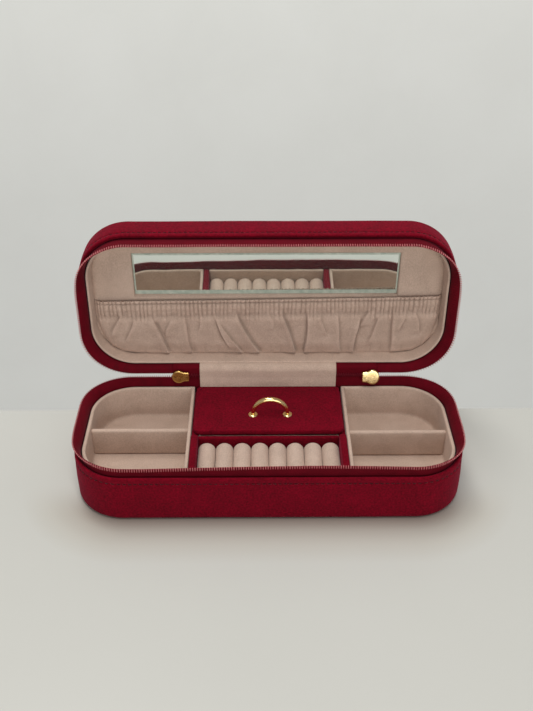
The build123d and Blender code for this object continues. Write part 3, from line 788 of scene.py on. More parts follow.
lid_tape, lD, lH, lT = tape_open("lid_zip_tape_woven", PL, lid_s, True, "lid", "lid_zip_tape")
teeth("lid_zip_teeth", PL, lid_s, lD, lH, lT, "lid", "lid_zip_coil")

# ------------------------------------------------------------------ hinge band, strip and closed chain
CH_Y, CH_Z = YR + 0.8 * MM, 35.2 * MM
bx = np.linspace(BAND_L, BAND_R, 170)
path = poly(*mmp((40.15, 26.0), (40.15, 30.0), (40.15, 36.4), (40.15, 39.6)),
            arcs(*mmp((40.15, 39.6), (40.25, 40.9), (42.0, 41.05)), n=6), *mmp((44.5, 41.05)))
path = fill_line(path, 0.5 * MM)
tg = norm(np.gradient(path, axis=0)); nn = np.stack([tg[:, 1], -tg[:, 0]], -1)
th = 0.24 * MM
loop = np.concatenate([path + nn * th, (path - nn * th)[::-1]])
X = np.repeat(bx, len(loop))
YZ = np.tile(loop, (len(bx), 1))
pts = np.stack([X, YZ[:, 0], YZ[:, 1]], -1)
wv = vnoise(pts, 45.0, 4.0) * 0.15 * MM * sstep(pts[:, 2], 30 * MM, 36 * MM) * (1 - sstep(pts[:, 2], 37 * MM, 39.5 * MM))
pts[:, 1] += wv
m = len(loop)
F = [tuple(f) for f in grid_faces(len(bx), m, close_v=True)] + [tuple(range(m))[::-1], tuple((len(bx) - 1) * m + i for i in range(m))]
band = make("hinge_band_woven", pts, F, TAPE, None, ["hinge_band"])
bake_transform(band)

SLX = {"left": -50.5 * MM, "right": 59.4 * MM}
for nm in ("left", "right"):
    slo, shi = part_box("slider_" + nm)
    SLX[nm] = float(slo[0] + shi[0]) / 2


def chain(name, x0, x1, body, node):
    """Closed stretch of coil: teeth of the two halves in turn, meshed in the middle."""
    n = max(2, int(abs(x1 - x0) / (0.63 * MM)))
    x = np.linspace(x0, x1, n)
    up = np.where(np.arange(n) % 2 == 0, 1.0, -1.0)
    C = np.stack([x, np.full(n, CH_Y - 0.55 * MM), CH_Z + up * 0.35 * MM], -1)
    A = np.stack([0.12 * up, 0 * x, 1 + 0 * x], -1); A = norm(A)
    B = np.tile(np.array([0, 1.0, 0]), (n, 1))
    T = np.cross(B, A)
    V, F = beads(np.stack([C, A, B, T], 1), (1.15 * MM, 0.55 * MM, 0.34 * MM), nseg=8, nring=4, power=0.8)
    return make(name, V, F, CHAIN_M, body, [node])


chain("rear_chain_teeth_left", -39.9 * MM, SLX["left"] + 2.5 * MM, "base", "rear_chain_left")
chain("rear_chain_teeth_right", 39.9 * MM, SLX["right"] - 3 * MM, "base", "rear_chain_right")


# soft strip over the hinge, from the lid lining down onto the base rim
sx = np.linspace(-39.5 * MM, 39.5 * MM, 110)
spath = poly(*mmp((39.2, 25.5), (39.15, 27.6)), arcs(*mmp((39.15, 27.6), (39.1, 30), (39.5, 34)), n=4),
             *mmp((39.45, 38.4)), arcs(*mmp((39.45, 38.4), (39.7, 41.2), (42.4, 41.75)), n=8), *mmp((46.0, 41.9), (50.9, 42.6)))
spath = fill_line(spath, 0.6 * MM)
tg = norm(np.gradient(spath, axis=0)); nn = np.stack([tg[:, 1], -tg[:, 0]], -1)
th = 0.3 * MM
loop = np.concatenate([spath + nn * th, (spath - nn * th)[::-1]])
m = len(loop)
X = np.repeat(sx, m); YZ = np.tile(loop, (len(sx), 1))
pts = np.stack([X, YZ[:, 0], YZ[:, 1]], -1)
amt = sstep(pts[:, 2], 27.5 * MM, 31 * MM) * (1 - sstep(pts[:, 2], 38.5 * MM, 41 * MM))
pts[:, 1] += amt * (0.32 * MM * vnoise(pts * np.array([1, 0, 1.0]), 50.0, 8.0) - 0.1 * MM)
F = [tuple(f) for f in grid_faces(len(sx), m, close_v=True)] + [tuple(range(m))[::-1], tuple((len(sx) - 1) * m + i for i in range(m))]
strip = make("hinge_strip_suede", pts, F, LINING, None, ["hinge_strip"])
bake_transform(strip)

# ------------------------------------------------------------------ compartments
def tray(name, corners, body, node, top, wall, floor, under, rim_r=0.85, mat=None, slope=0.25, seed=1.0, crown=0.25):
    """Padded lining of a compartment: outer face, rolled rim, inner wall, rounded turn and floor in one skin."""
    P, N = round_poly([(x * MM, y * MM, r * MM) for x, y, r in corners], step=1.3 * MM)
    t, w, f, b = top, wall, floor, under
    pr = poly(*mmp((-0.06, b), (-0.02, (b + t) / 2), (-0.02, t - rim_r)),
              arcs(*mmp((-0.02, t - rim_r), (0.0, t + 0.05), (-w / 2, t + 0.1)), n=4),
              arcs(*mmp((-w / 2, t + 0.1), (-w - 0.02, t + 0.05), (-w - 0.05, t - rim_r)), n=4),
              *mmp((-w - slope * 0.6, (t + f) / 2), (-w - slope, f + 1.9)),
              arcs(*mmp((-w - slope, f + 1.9), (-w - slope - 0.1, f + 0.05), (-w - slope - 1.6, f + 0.02)), n=5),
              *mmp((-w - slope - 3.0, f)))
    pr = fill_line(pr, 1.4 * MM)
    pr[:, 1] -= RIM
    ob = loop_solid(name, P, N, pr, PB, mat or LINING, body, [node], cap1=True, crown1=crown * MM, rings=22,
                    amp=0.10 * MM, nscale=75.0, seed=seed, centre=P.mean(0))
    return ob


YF = -YR / MM
for side, sg in (("left", -1), ("right", 1)):
    c = [(-42.55, YF, 0), (-42.55, -YF, 0), (-100, -YF, 23.7), (-100, YF, 23.7)]
    if sg > 0:
        c = [(-x, y, r) for x, y, r in c][::-1]
    ob = tray("tray_lining_" + side, c, "base", "liner_" + side, 27.7, 1.9, 8.1, 6.5, seed=2.0 + sg)
    lo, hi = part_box("divider_" + side)
    d = soft_box("divider_padded_" + side, lo + Vector((-0.4 * MM, 0, 0)), hi + Vector((0.4 * MM, 0, 0.1 * MM)), 1.25 * MM, LINING, "base", ["divider_" + side],
                 amp=0.10 * MM, nscale=110.0, seed=4.0 + sg)

lo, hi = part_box("rear_box_liner")
bx0, bx1, by0, by1 = [v / MM for v in (lo[0], hi[0], lo[1], hi[1])]
rb = tray("rear_box_lining", [(bx0, by0, 0), (bx1, by0, 0), (bx1, by1, 0), (bx0, by1, 0)], "base", "rear_box_liner",
          23.8, 1.2, 8.1, 6.5, rim_r=0.5, seed=6.0)

PART = float(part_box("module_partition")[0][1])
for side in ("left", "right"):
    lo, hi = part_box("module_side_" + side)
    a, b = Vector(lo), Vector(hi)
    low = soft_box("module_wall_" + side, a, Vector((b[0], b[1], 24.6 * MM)), 0.9 * MM, VELVET, "base",
                   ["module_side_" + side], amp=0.06 * MM, seed=1.5)
    front = soft_box("module_wall_front_" + side, Vector((a[0], a[1], 18 * MM)), Vector((b[0], PART - 0.4 * MM, b[2] + 0.1 * MM)), 1.1 * MM,
                     VELVET, "base", (), amp=0.08 * MM, seed=2.5)
lo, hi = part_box("module_partition")
part = soft_box("module_partition_velvet", lo, hi, 0.9 * MM, VELVET, "base", ["module_partition"], amp=0.06 * MM, seed=3.5)
lo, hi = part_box("ring_bed")
rbed = soft_box("ring_bed_lining", lo, hi, 0.7 * MM, LINING, "base", ["ring_bed"], amp=0.1 * MM)
lo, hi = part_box("ring_front_lining")
rfl = soft_box("ring_front_wall", lo, hi + Vector((0, 0, 0.1 * MM)), 0.85 * MM, LINING, "base", ["ring_front_lining"], amp=0.08 * MM, seed=7.0)

# ring rolls: foam wrapped in suede, the fabric drawn in over their ends
for i in range(8):
    node = "ring_roll_%d" % (i + 1)
    lo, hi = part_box(node)
    cx, cz = (lo[0] + hi[0]) / 2, (lo[2] + hi[2]) / 2
    r = (hi[0] - lo[0]) / 2
    y0, y1 = lo[1], hi[1]
    e = 1.9 * MM
    ts = np.linspace(0, math.pi / 2, 6)
    ys = np.concatenate([y0 + e - e * np.cos(ts), np.linspace(y0 + e, y1 - e, 24)[1:-1], y1 - e + e * np.sin(ts)])
    rs = np.concatenate([r - e + e * np.sin(ts), np.full(22, r), r - e + e * np.cos(ts)])
    n = 40
    ph = np.arange(n) * 2 * math.pi / n
    R = rs[:, None]
    Vx = cx + R * np.cos(ph); Vz = cz + R * np.sin(ph) * 1.0; Vy = np.repeat(ys[:, None], n, 1)
    pts = np.stack([Vx, Vy, Vz], -1).reshape(-1, 3)
    out = np.stack([np.tile(np.cos(ph), len(ys)), np.zeros(len(pts)), np.tile(np.sin(ph), len(ys))], -1)
    pts = pts + out * (0.13 * MM * vnoise(pts, 120.0, 3.0 + i))[:, None]
    W = np.concatenate([pts, [[cx, y0, cz]], [[cx, y1, cz]]])
    F = [tuple(f) for f in grid_faces(len(ys), n, close_v=True)]
    a, b = len(W) - 2, len(W) - 1
    F += [(a, k, (k + 1) % n) for k in range(n)] + [(b, (len(ys) - 1) * n + (k + 1) % n, (len(ys) - 1) * n + k) for k in range(n)]
    ob = make("ring_roll_suede_%d" % (i + 1), W, F, ROLL, "base", [node])

# ------------------------------------------------------------------ inner lid and handle
lo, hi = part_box("inner_lid_cover")
x0, x1, y0, y1, z0, z1 = lo[0] / MM, hi[0] / MM, lo[1] / MM, hi[1] / MM, lo[2] / MM, hi[2] / MM
x0, x1, y0 = x0 + 0.6, x1 - 0.6, y0 + 2.3
P, N = round_poly([(x0 * MM, y0 * MM, 3.6 * MM), (x1 * MM, y0 * MM, 3.6 * MM), (x1 * MM, y1 * MM, 1.4 * MM), (x0 * MM, y1 * MM, 1.4 * MM)], step=1.1 * MM)
pr = poly(*mmp((-1.2, z0 + 0.75), (-0.9, z0 + 0.02)), arcs(*mmp((-0.9, z0), (0.0, z0), (0.02, z0 + 0.9)), n=4), *mmp((0.03, z1 - 1.1)),
          arcs(*mmp((0.03, z1 - 1.1), (0.0, z1 + 0.05), (-1.0, z1)), n=5), *mmp((-1.35, z1 - 0.1), (-1.7, z1 + 0.0), (-2.6, z1 + 0.02)))
pr[:, 1] -= RIM
il = loop_solid("inner_lid_velvet", P, N, pr, PB, VELVET, "inner_lid", ["inner_lid_cover"], cap1=True, crown1=0.12 * MM,
                rings=26, amp=0.07 * MM, nscale=60.0, seed=5.0)
lo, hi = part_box("inner_lid_lining")
lo2, hi2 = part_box("inner_lid_board")
soft_box("inner_lid_stiffener", lo2 + Vector((0.4 * MM, 2.9 * MM, 0)), hi2 - Vector((0.4 * MM, 0, 0)), 0.2 * MM, BOARD, "inner_lid", ["inner_lid_board"], step=3 * MM)
ill = soft_box("inner_lid_underside", lo + Vector((0.4 * MM, 2.9 * MM, 0)), hi - Vector((0.4 * MM, 0, 0)), 0.3 * MM, LINING, "inner_lid", ["inner_lid_lining"], step=2.5 * MM)
lo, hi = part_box("inner_lid_hinge")
hz = np.linspace(lo[2] + 0.1 * MM, hi[2] - 0.1 * MM, 8)
hx = np.linspace(lo[0], hi[0], 90)
loop = np.concatenate([np.stack([np.full(8, lo[1]), hz], -1), np.stack([np.full(8, hi[1]), hz], -1)[::-1]])
X = np.repeat(hx, 16); YZ = np.tile(loop, (90, 1))
pts = np.stack([X, YZ[:, 0], YZ[:, 1]], -1)
F = [tuple(f) for f in grid_faces(90, 16, close_v=True)] + [tuple(range(16))[::-1], tuple(89 * 16 + i for i in range(16))]
make("inner_lid_fold", pts, F, VELVET, "base", ["inner_lid_hinge"])

lo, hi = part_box("handle_arch")
hxc, hyc = (lo[0] + hi[0]) / 2, (lo[1] + hi[1]) / 2
z0, z1 = lo[2], hi[2]
half = (hi[0] - lo[0]) / 2 - 1.9 * MM
hxc, hyc = hxc - 0.5 * MM, hyc - 0.9 * MM
rise = z1 - z0 - 1.05 * MM
a = np.linspace(0, math.pi, 60)
pts = np.stack([hxc - half * np.cos(a), np.full(60, hyc), z0 - 0.4 * MM + (rise + 0.2 * MM) * np.sin(a) ** 0.92], -1)
rad = (1.08 + 0.38 * np.sin(a) ** 1.3) * MM
tube("handle_arch_polished", pts, rad, GOLD, "inner_lid", ["handle_arch"], n=26)
V, F, off = [], [], 0
prw = np.array([(0.0, 0.95), (1.0, 0.93), (1.5, 0.88), (2.0, 0.78), (2.45, 0.56), (2.68, 0.26), (2.7, 0.08), (2.55, 0.0), (0.0, 0.0)])
for sg in (-1, 1):
    n = 40
    ph = np.arange(n) * 2 * math.pi / n
    rr = prw[:, 0][:, None] * (1 + 0.012 * np.cos(8 * ph)[None, :] * (prw[:, 0][:, None] > 1.8))
    W = np.stack([hxc + sg * half + rr * MM * np.cos(ph), hyc + rr * MM * np.sin(ph),
                  np.repeat(prw[:, 1][:, None] * MM, n, 1) + 27.92 * MM], -1).reshape(-1, 3)
    V.append(W)
    F += [tuple(int(k) + off for k in f) for f in grid_faces(len(prw), n, close_v=True)]
    off += len(W)
make("handle_foot_rosettes", np.concatenate(V), F, GOLD, "inner_lid", ["handle_washers"])


# ------------------------------------------------------------------ sliders and pulls
def spline_loop(pts, n=90):
    P = np.array(pts, float)
    k = len(P)
    t = np.linspace(0, k, n, endpoint=False)
    i = t.astype(int) % k; f = (t - t.astype(int))[:, None]
    p0, p1, p2, p3 = P[(i - 1) % k], P[i], P[(i + 1) % k], P[(i + 2) % k]
    q = 0.5 * (2 * p1 + (p2 - p0) * f + (2 * p0 - 5 * p1 + 4 * p2 - p3) * f ** 2 + (3 * p1 - p0 - 3 * p2 + p3) * f ** 3)
    tg = norm(np.roll(q, -1, 0) - np.roll(q, 1, 0))
    return q * MM, np.stack([tg[:, 1], -tg[:, 0]], -1)


half_up = [(-5.0, 0.9), (-4.9, 2.3), (-4.2, 2.85), (-3.0, 2.9), (-2.0, 3.0), (-1.1, 3.45), (0.1, 3.95), (1.6, 4.1), (3.1, 3.6), (4.4, 2.3), (5.05, 0.7)]
full = [(x, -y) for x, y in half_up] + [(x, y) for x, y in half_up[::-1]]
for nm, sg in (("left", -1), ("right", 1)):
    X0 = SLX[nm]
    body = "slider_%s_body" % nm
    P, N = spline_loop(full)

    def place(u, v, h, X0=X0, sg=sg):
        return np.stack([X0 + sg * u, (38.0 if sg > 0 else 38.8) * MM - h + (0.31 if sg > 0 else 0.02) * v, CH_Z + v], -1)

    pr = np.array([(-0.7, 0.0), (-0.15, 0.0), (0.0, 0.15), (0.02, 0.7), (-0.12, 1.02), (-0.45, 1.2), (-0.9, 1.22)]) * MM
    loop_solid("slider_plate_" + nm, P, N, pr, place, GOLD if sg > 0 else GOLD_DARK, body, ["slider_" + nm],
               cap0=True, cap1=True, crown1=0.38 * MM, step=0.6 * MM)
    c = [(-4.4, -3.1, 1.3), (4.4, -3.1, 1.7), (4.4, 1.9, 1.7), (-4.4, 1.9, 1.3)]
    P2, N2 = round_poly([(x * MM, y * MM, r * MM) for x, y, r in c], step=0.5 * MM)

    def place2(u, v, h, X0=X0, sg=sg):
        return np.stack([X0 + sg * u, 41.35 * MM + h, CH_Z + v], -1)

    pr2 = np.array([(-0.6, 0.0), (-0.12, 0.0), (0.0, 0.15), (0.0, 0.75), (-0.14, 1.0), (-0.5, 1.1)]) * MM
    loop_solid("slider_outer_plate_" + nm, P2, N2, pr2, place2, GOLD, body, (), cap0=True, cap1=True, crown1=0.15 * MM, step=0.8 * MM)
    soft_box("slider_post_" + nm, (X0 - 1.2 * MM, 40.2 * MM, CH_Z - 0.4 * MM), (X0 + 1.2 * MM, 41.4 * MM, CH_Z + 0.4 * MM), 0.15 * MM, GOLD, body, (), step=0.8 * MM)
    b = np.array([(-2.75, 42.3), (-2.75, 43.3), (-2.5, 43.8), (-1.9, 43.85), (1.9, 43.85), (2.5, 43.8), (2.75, 43.3), (2.75, 42.3)]) * MM
    b = fill_line(b, 0.35 * MM)
    pts = np.stack([X0 + b[:, 0], b[:, 1], np.full(len(b), 33.9 * MM)], -1)
    tube("slider_bail_" + nm, pts, np.full(len(pts), 0.5 * MM), GOLD, body, (), n=12)
    # pull: a barrel eye round the bail and a flat tongue
    pb = "pull_%s_body" % nm
    n = 28
    ph = np.arange(n) * 2 * math.pi / n
    sec = np.array([(-1.9, 0.62), (-1.9, 0.95), (-1.75, 1.1), (1.75, 1.1), (1.9, 0.95), (1.9, 0.62)])
    W = np.stack([np.repeat(X0 + sec[:, 0][:, None] * MM, n, 1), 43.85 * MM + sec[:, 1][:, None] * MM * np.cos(ph),
                  33.9 * MM + sec[:, 1][:, None] * MM * np.sin(ph)], -1)
    make("pull_eye_" + nm, W.reshape(-1, 3), grid_faces(6, n, close_u=True, close_v=True), GOLD, pb, ["pull_" + nm])
    c = [(-1.7, 8.5, 1.5), (1.7, 8.5, 1.5), (2.3, 15.0, 3.0), (1.75, 32.6, 0.7), (-1.75, 32.6, 0.7), (-2.3, 15.0, 3.0)]
    P3, N3 = round_poly([(x * MM, y * MM, r * MM) for x, y, r in c], step=0.7 * MM)

    def place3(u, v, h, X0=X0):
        return np.stack([X0 + u, 43.5 * MM + h, v], -1)

    pr3 = np.array([(-0.6, 0.0), (-0.15, 0.02), (0.0, 0.2), (0.0, 0.7), (-0.15, 0.92), (-0.55, 0.95), (-0.75, 0.88), (-1.0, 0.88)]) * MM
    loop_solid("pull_tongue_" + nm, P3, N3, pr3, place3, GOLD, pb, (), cap0=True, cap1=True, step=0.9 * MM)

# ------------------------------------------------------------------ lid interior
def q2(y_mm):
    return y_mm * MM


rim_pr = poly(*mmp((-0.05, -14.4), (-0.03, -6.0), (-0.02, -0.6)), arcs(*mmp((-0.02, -0.6), (0.0, 0.05), (-0.6, 0.08)), n=4),
              arcs(*mmp((-0.6, 0.08), (-1.3, 0.05), (-1.35, -0.6)), n=4), *mmp((-1.6, -3.0), (-2.05, -8.0), (-1.95, -14.4)))
rim_pr = fill_line(rim_pr, 1.0 * MM)
W = ring(PL, rim_pr)
sh = W.shape
fl = W.reshape(-1, 3)
amp = 0.10 * MM * vnoise(fl, 80.0, 12.0)
fl = fl + np.stack([np.zeros(len(fl)), amp, np.zeros(len(fl))], -1)
rim = make("lid_rim_lining_padded", fl, grid_faces(sh[0], sh[1], close_u=True, close_v=True), LINING, "lid", ["lid_rim_lining"])

# padded panel with the mirror let into it
mlo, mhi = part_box("mirror_glass")
MX0, MX1, MZ0, MZ1 = float(mlo[0]), float(mhi[0]), float(mlo[2]), float(mhi[2])
ZC = LID_Z0 + YR
hwP, hdP, rP = HW - 2.0 * MM, YR - 2.0 * MM, RAD - 2.0 * MM


def rr_sdf(x, z, hw, hd, r):
    qx, qz = np.abs(x) - (hw - r), np.abs(z) - (hd - r)
    return np.hypot(np.maximum(qx, 0), np.maximum(qz, 0)) + np.minimum(np.maximum(qx, qz), 0) - r


def grades(a, b, marks, step):
    pts = [a, b]
    for m in marks:
        pts += [m + o * MM for o in (-1.6, -1.0, -0.6, -0.3, -0.05, 0.05, 0.3, 0.8)]
    pts = np.array(sorted(p for p in pts if a <= p <= b))
    return fill_line(pts[:, None], step)[:, 0]


# seam: down the end, round the corner and along the bottom of the panel
zs_ = np.array([76.0, 71.5, 64.7, 54.5, 48.6, 44.9, 43.6]) * MM
xs_ = np.array([98.3, 98.2, 97.2, 94.3, 90.3, 84.2, 74.5]) * MM
right = np.stack([xs_, zs_], -1)
left = right * np.array([-1, 1])
seam = np.concatenate([left, np.stack([np.linspace(-66, 66, 25) * MM, np.full(25, 43.35 * MM)], -1), right[::-1]])
sl = np.concatenate([[0], np.cumsum(np.linalg.norm(np.diff(seam, axis=0), axis=1))])
gx = grades(-hwP, hwP, [MX0 - 0.25 * MM, MX1 + 0.25 * MM], 1.3 * MM)
gz = grades(ZC - hdP, ZC + hdP, [MZ0 - 0.25 * MM, MZ1 + 0.25 * MM, 43.6 * MM], 0.9 * MM)
GX, GZ = np.meshgrid(gx, gz, indexing="ij")
px, pz = GX.ravel(), GZ.ravel() - ZC
sd = rr_sdf(px, pz, hwP, hdP, rP)
for _ in range(6):
    e = 0.05 * MM
    gxx = (rr_sdf(px + e, pz, hwP, hdP, rP) - rr_sdf(px - e, pz, hwP, hdP, rP)) / (2 * e)
    gzz = (rr_sdf(px, pz + e, hwP, hdP, rP) - rr_sdf(px, pz - e, hwP, hdP, rP)) / (2 * e)
    over = np.maximum(sd, 0)
    px, pz = px - gxx * over, pz - gzz * over
    sd = rr_sdf(px, pz, hwP, hdP, rP)
edge = np.clip(-sd / (0.9 * MM), 0, 1)
q = 8.3 * MM + 0.6 * MM * (1 - np.sqrt(np.clip(1 - (1 - edge) ** 2, 0, 1)))
mcx, mcz = (MX0 + MX1) / 2, (MZ0 + MZ1) / 2 - ZC
md = np.maximum(np.abs(px - mcx) - (MX1 - MX0) / 2 - 0.25 * MM, np.abs(pz - mcz) - (MZ1 - MZ0) / 2 - 0.25 * MM)
lip = np.clip(md / (1.3 * MM), 0, 1)
q = q + 0.55 * MM * (1 - np.sqrt(np.clip(1 - (1 - lip) ** 2, 0, 1)))
q = np.where(md < 0, 12.3 * MM, q)
pp = np.stack([px, 0 * px, pz], -1)
q = q + np.where(md > 0, 1, 0) * (0.22 * MM * vnoise(pp, 34.0, 15.0) + 0.07 * MM * vnoise(pp, 140.0, 16.0))
# the pocket's seam pulls a fine line into the padding
fine = fill_line(seam, 1.0 * MM)
ds = np.full(len(px), 1.0)
near_low = np.where((pz + ZC < 80 * MM))[0]
for i0 in range(0, len(near_low), 4000):
    idx = near_low[i0:i0 + 4000]
    ds[idx] = np.min(np.hypot(px[idx][:, None] - fine[None, :, 0], (pz[idx] + ZC)[:, None] - fine[None, :, 1]), axis=1)
q = q + 0.75 * MM * np.exp(-(ds / (0.8 * MM)) ** 2)
V = np.stack([px, LID_Y + q, pz + ZC], -1)
F = grid_faces(len(gx), len(gz))
back = []
panel = make("lid_panel_padded", V, F, LINING, "lid", ["lid_panel"])

# mirror: flat glass with a narrow ground edge, leaning forward a little at its top
tilt = math.radians(4.5)
mw, mh = (MX1 - MX0) / 2, (MZ1 - MZ0) / 2 / math.cos(tilt)
mc = np.array([(MX0 + MX1) / 2, LID_Y + 9.72 * MM, (MZ0 + MZ1) / 2])
ex, ez = np.array([1.0, 0, 0]), np.array([0, -math.sin(tilt), math.cos(tilt)])
ey = np.cross(ez, ex)


def mirror_pt(a, b, c):
    return mc + a * ex + b * ez + c * ey


bev = 1.0 * MM
V = [mirror_pt(a * (mw - bev), b * (mh - bev), 0.0) for a, b in ((-1, -1), (1, -1), (1, 1), (-1, 1))]
nx, nz = 30, 8
gxm, gzm = np.linspace(-(mw - bev), mw - bev, nx), np.linspace(-(mh - bev - 1.8 * MM), mh - bev, nz)
V = [mirror_pt(a, b, 0.0) for a in gxm for b in gzm]
mirror = make("mirror_plate", V, grid_faces(nx, nz), MIRROR, "lid", ["mirror_glass"], smooth=False)
sgn = 1.0 if mirror.data.polygons[0].normal.y > 0 else -1.0
if sgn > 0:
    mirror.data.flip_normals()
V, F = [], []
cs = ((-1, -1), (1, -1), (1, 1), (-1, 1))
for ins, dep in ((bev, 0.0), (0.12 * MM, 0.22 * MM), (0.0, 0.4 * MM), (0.0, 1.1 * MM)):
    V += [mirror_pt(a * (mw - ins), b * (mh - ins - (1.8 * MM if b < 0 and ins > 0.5 * MM else 0.0)), dep * (-sgn if False else 1.0) * (1.0 if ey[1] > 0 else -1.0)) for a, b in cs]
for k in range(3):
    for i in range(4):
        F.append((k * 4 + i, k * 4 + (i + 1) % 4, (k + 1) * 4 + (i + 1) % 4, (k + 1) * 4 + i))
F.append((12, 13, 14, 15))
make("mirror_ground_edge", V, F, GLASS_EDGE, "lid", (), smooth=False)
lo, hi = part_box("mirror_backing")

# gathered pocket -------------------------------------------------------------
NXP, NZP = (940, 124)
PHW, PHD, PRR = HW - 2.1 * MM, YR - 2.0 * MM, RAD - 2.0 * MM


def pocket_top(x):
    return np.interp(x / MM, [-98, -60, 0, 60, 98], [79.3, 79.8, 80.5, 81.4, 82.2]) * MM


a = np.linspace(0, 1, NXP)
# the outer columns bend round the corner, the middle ones hang straight
xt = (a * 2 - 1) * 97.7 * MM
w_mid = sstep(np.abs(xt), 60 * MM, 97.7 * MM)
s_par = np.interp(a, [0, 1], [0, sl[-1]])
sx_ = np.interp(s_par, sl, seam[:, 0]); sz_ = np.interp(s_par, sl, seam[:, 1])
s_str = np.interp(np.clip(xt, -92 * MM, 92 * MM), seam[6:-6, 0], sl[6:-6])
s_mix = s_par * w_mid + s_str * (1 - w_mid)
s_mix = np.maximum.accumulate(s_mix)
sx_ = np.interp(s_mix, sl, seam[:, 0]); sz_ = np.interp(s_mix, sl, seam[:, 1])
t = np.linspace(0, 1, NZP)[None, :]
zt = pocket_top(xt)[:, None]
X = xt[:, None] * (1 - t) + sx_[:, None] * t
Z = zt * (1 - t) + sz_[:, None] * t
bulge = 0.0


def pleats(x, centres):
    """Rounded ridges between sharp valleys at the given places."""
    k = np.searchsorted(centres, x)
    k = np.clip(k, 1, len(centres) - 1)
    f = (x - centres[k - 1]) / (centres[k] - centres[k - 1])
    return np.abs(np.sin(math.pi * np.clip(f, 0, 1))) ** 0.62, centres[k] - centres[k - 1]


c_top = np.cumsum(rng.uniform(1.9, 3.1, 120)) * MM - 104 * MM
c_top = np.concatenate([[-130 * MM], c_top[c_top < 104 * MM], [130 * MM]])
c_seam = np.cumsum(rng.uniform(5.0, 15.0, 60)) * MM - 104 * MM
c_seam = np.concatenate([[-130 * MM], c_seam[c_seam < 104 * MM], [130 * MM]])
depth = (zt - Z)                                     # how far below the top edge
P3 = np.stack([X.ravel(), 0 * X.ravel(), Z.ravel()], -1)
n28 = vnoise(P3, 28.0, 21.0).reshape(X.shape)
n75 = vnoise(P3, 75.0, 22.0).reshape(X.shape)
EB = 8.6 * MM                                        # depth of the elastic channel
total = (zt - Z[:, -1:])
f_top, wd = pleats(X + 0.5 * MM * n75, c_top)
f_sm, wsn = pleats(X + 2.0 * MM * n28, c_seam)
# each small gather dies out at its own depth
kx = np.clip(np.searchsorted(c_top, xt), 1, len(c_top) - 1)
die = rng.uniform(7.0, 14.5, len(c_top))[kx][:, None] * MM
strength = rng.uniform(0.65, 1.25, len(c_top))[kx][:, None]
fade_top = 1 - sstep(depth, die - 3.0 * MM, die + 2.5 * MM)
out = 1.05 * MM * strength * (f_top - 0.35) * fade_top * (0.9 + 0.22 * np.cos(depth / MM * 2 * math.pi / 4.3 + rng.uniform(-1.2, 1.2, len(c_top))[kx][:, None]))
out -= 0.10 * MM * np.exp(-((depth - 6.4 * MM) / (0.6 * MM)) ** 2)
# broad fullness of the cloth below the elastic
below = sstep(depth, EB - 1.0 * MM, EB + 5.0 * MM)
lowp = 1 - 0.55 * sstep(depth / total, 0.75, 1.0)
out += below * lowp * (1.05 * MM * n28 + 0.35 * MM * n75 + 0.9 * MM)
out += 0.55 * MM * (f_sm - 0.5) * sstep(depth / total, 0.72, 0.98)
# stitched line of the elastic and the soft roll of the top edge
out -= 0.45 * MM * np.exp(-((depth - 1.9 * MM) / (0.45 * MM)) ** 2)
out += 0.55 * MM * np.exp(-((depth - 0.7 * MM) / (0.9 * MM)) ** 2)
out += 0.75 * MM * np.exp(-((depth - 5.4 * MM) / (3.0 * MM)) ** 2)
out -= 0.35 * MM * np.exp(-((depth - 10.3 * MM) / (1.6 * MM)) ** 2)
# folds where the cloth has creased on its way to the seam: (x, depth) to (x, depth), height, which side stands up
for k, (xa, da, xb, db, am, sg, fall) in enumerate((
        (-65.5, 12.0, -56.0, 38.0, 1.7, 1, 5.5), (-48.0, 11.0, -43.8, 37.0, 1.0, 1, 5.0), (-30.5, 11.0, -21.5, 33.0, 0.9, -1, 5.5),
        (-17.8, 9.5, -4.5, 38.0, 1.9, 1, 6.0), (-26.5, 16.0, -14.0, 38.0, 1.0, 1, 4.0), (8.3, 8.5, 16.5, 38.0, 1.9, 1, 6.5),
        (22.6, 9.5, 21.6, 38.0, 1.5, -1, 5.0), (39.0, 10.0, 42.8, 38.0, 1.0, 1, 5.0),
        (52.0, 14.0, 49.4, 38.0, 1.7, 1, 4.5), (57.5, 9.0, 52.0, 19.0, 1.1, -1, 3.0), (71.8, 10.0, 71.0, 38.0, 0.95, -1, 4.5),
        (64.0, 10.0, 57.0, 32.0, 0.8, -1, 4.0), (84.0, 10.0, 87.5, 24.0, 0.8, 1, 4.0), (-76.5, 12.0, -81.5, 27.0, 0.9, -1, 4.5),
        (-84.0, 9.0, -90.0, 23.0, 0.9, -1, 4.0), (-55.5, 13.0, -59.5, 24.0, 0.8, -1, 3.0), (30.0, 10.0, 33.0, 24.0, 0.7, 1, 3.5),
        (-37.5, 10.0, -40.5, 21.0, 0.6, -1, 3.0), (1.0, 9.5, 3.5, 20.0, 0.6, 1, 3.0), (78.0, 9.0, 76.0, 22.0, 0.6, 1, 3.0))):
    xa, da, xb, db, am, fall = xa * MM, da * MM, xb * MM, db * MM, 1.3 * am * MM, 0.8 * fall * MM
    tt = (depth - da) / (db - da)
    xx = xa + (xb - xa) * tt + 0.5 * MM * np.sin(tt * 5 + k)
    win = sstep(tt, -0.12, 0.22) * (1 - sstep(tt, 0.80, 1.06))
    if db >= 36.9 * MM:
        win = sstep(tt, -0.12, 0.22) * (1 - 0.55 * sstep(tt, 0.85, 1.05))
    g = (X - xx) * sg
    out += win * am * np.where(g < 0, np.exp(np.minimum(g, 0) / fall), np.exp(-np.maximum(g, 0) / (0.30 * MM)) * 1.55 - 0.55 * np.exp(-np.maximum(g, 0) / (2.4 * MM)))
out += 0.22 * MM * vnoise(P3, 110.0, 23.0).reshape(X.shape) * below
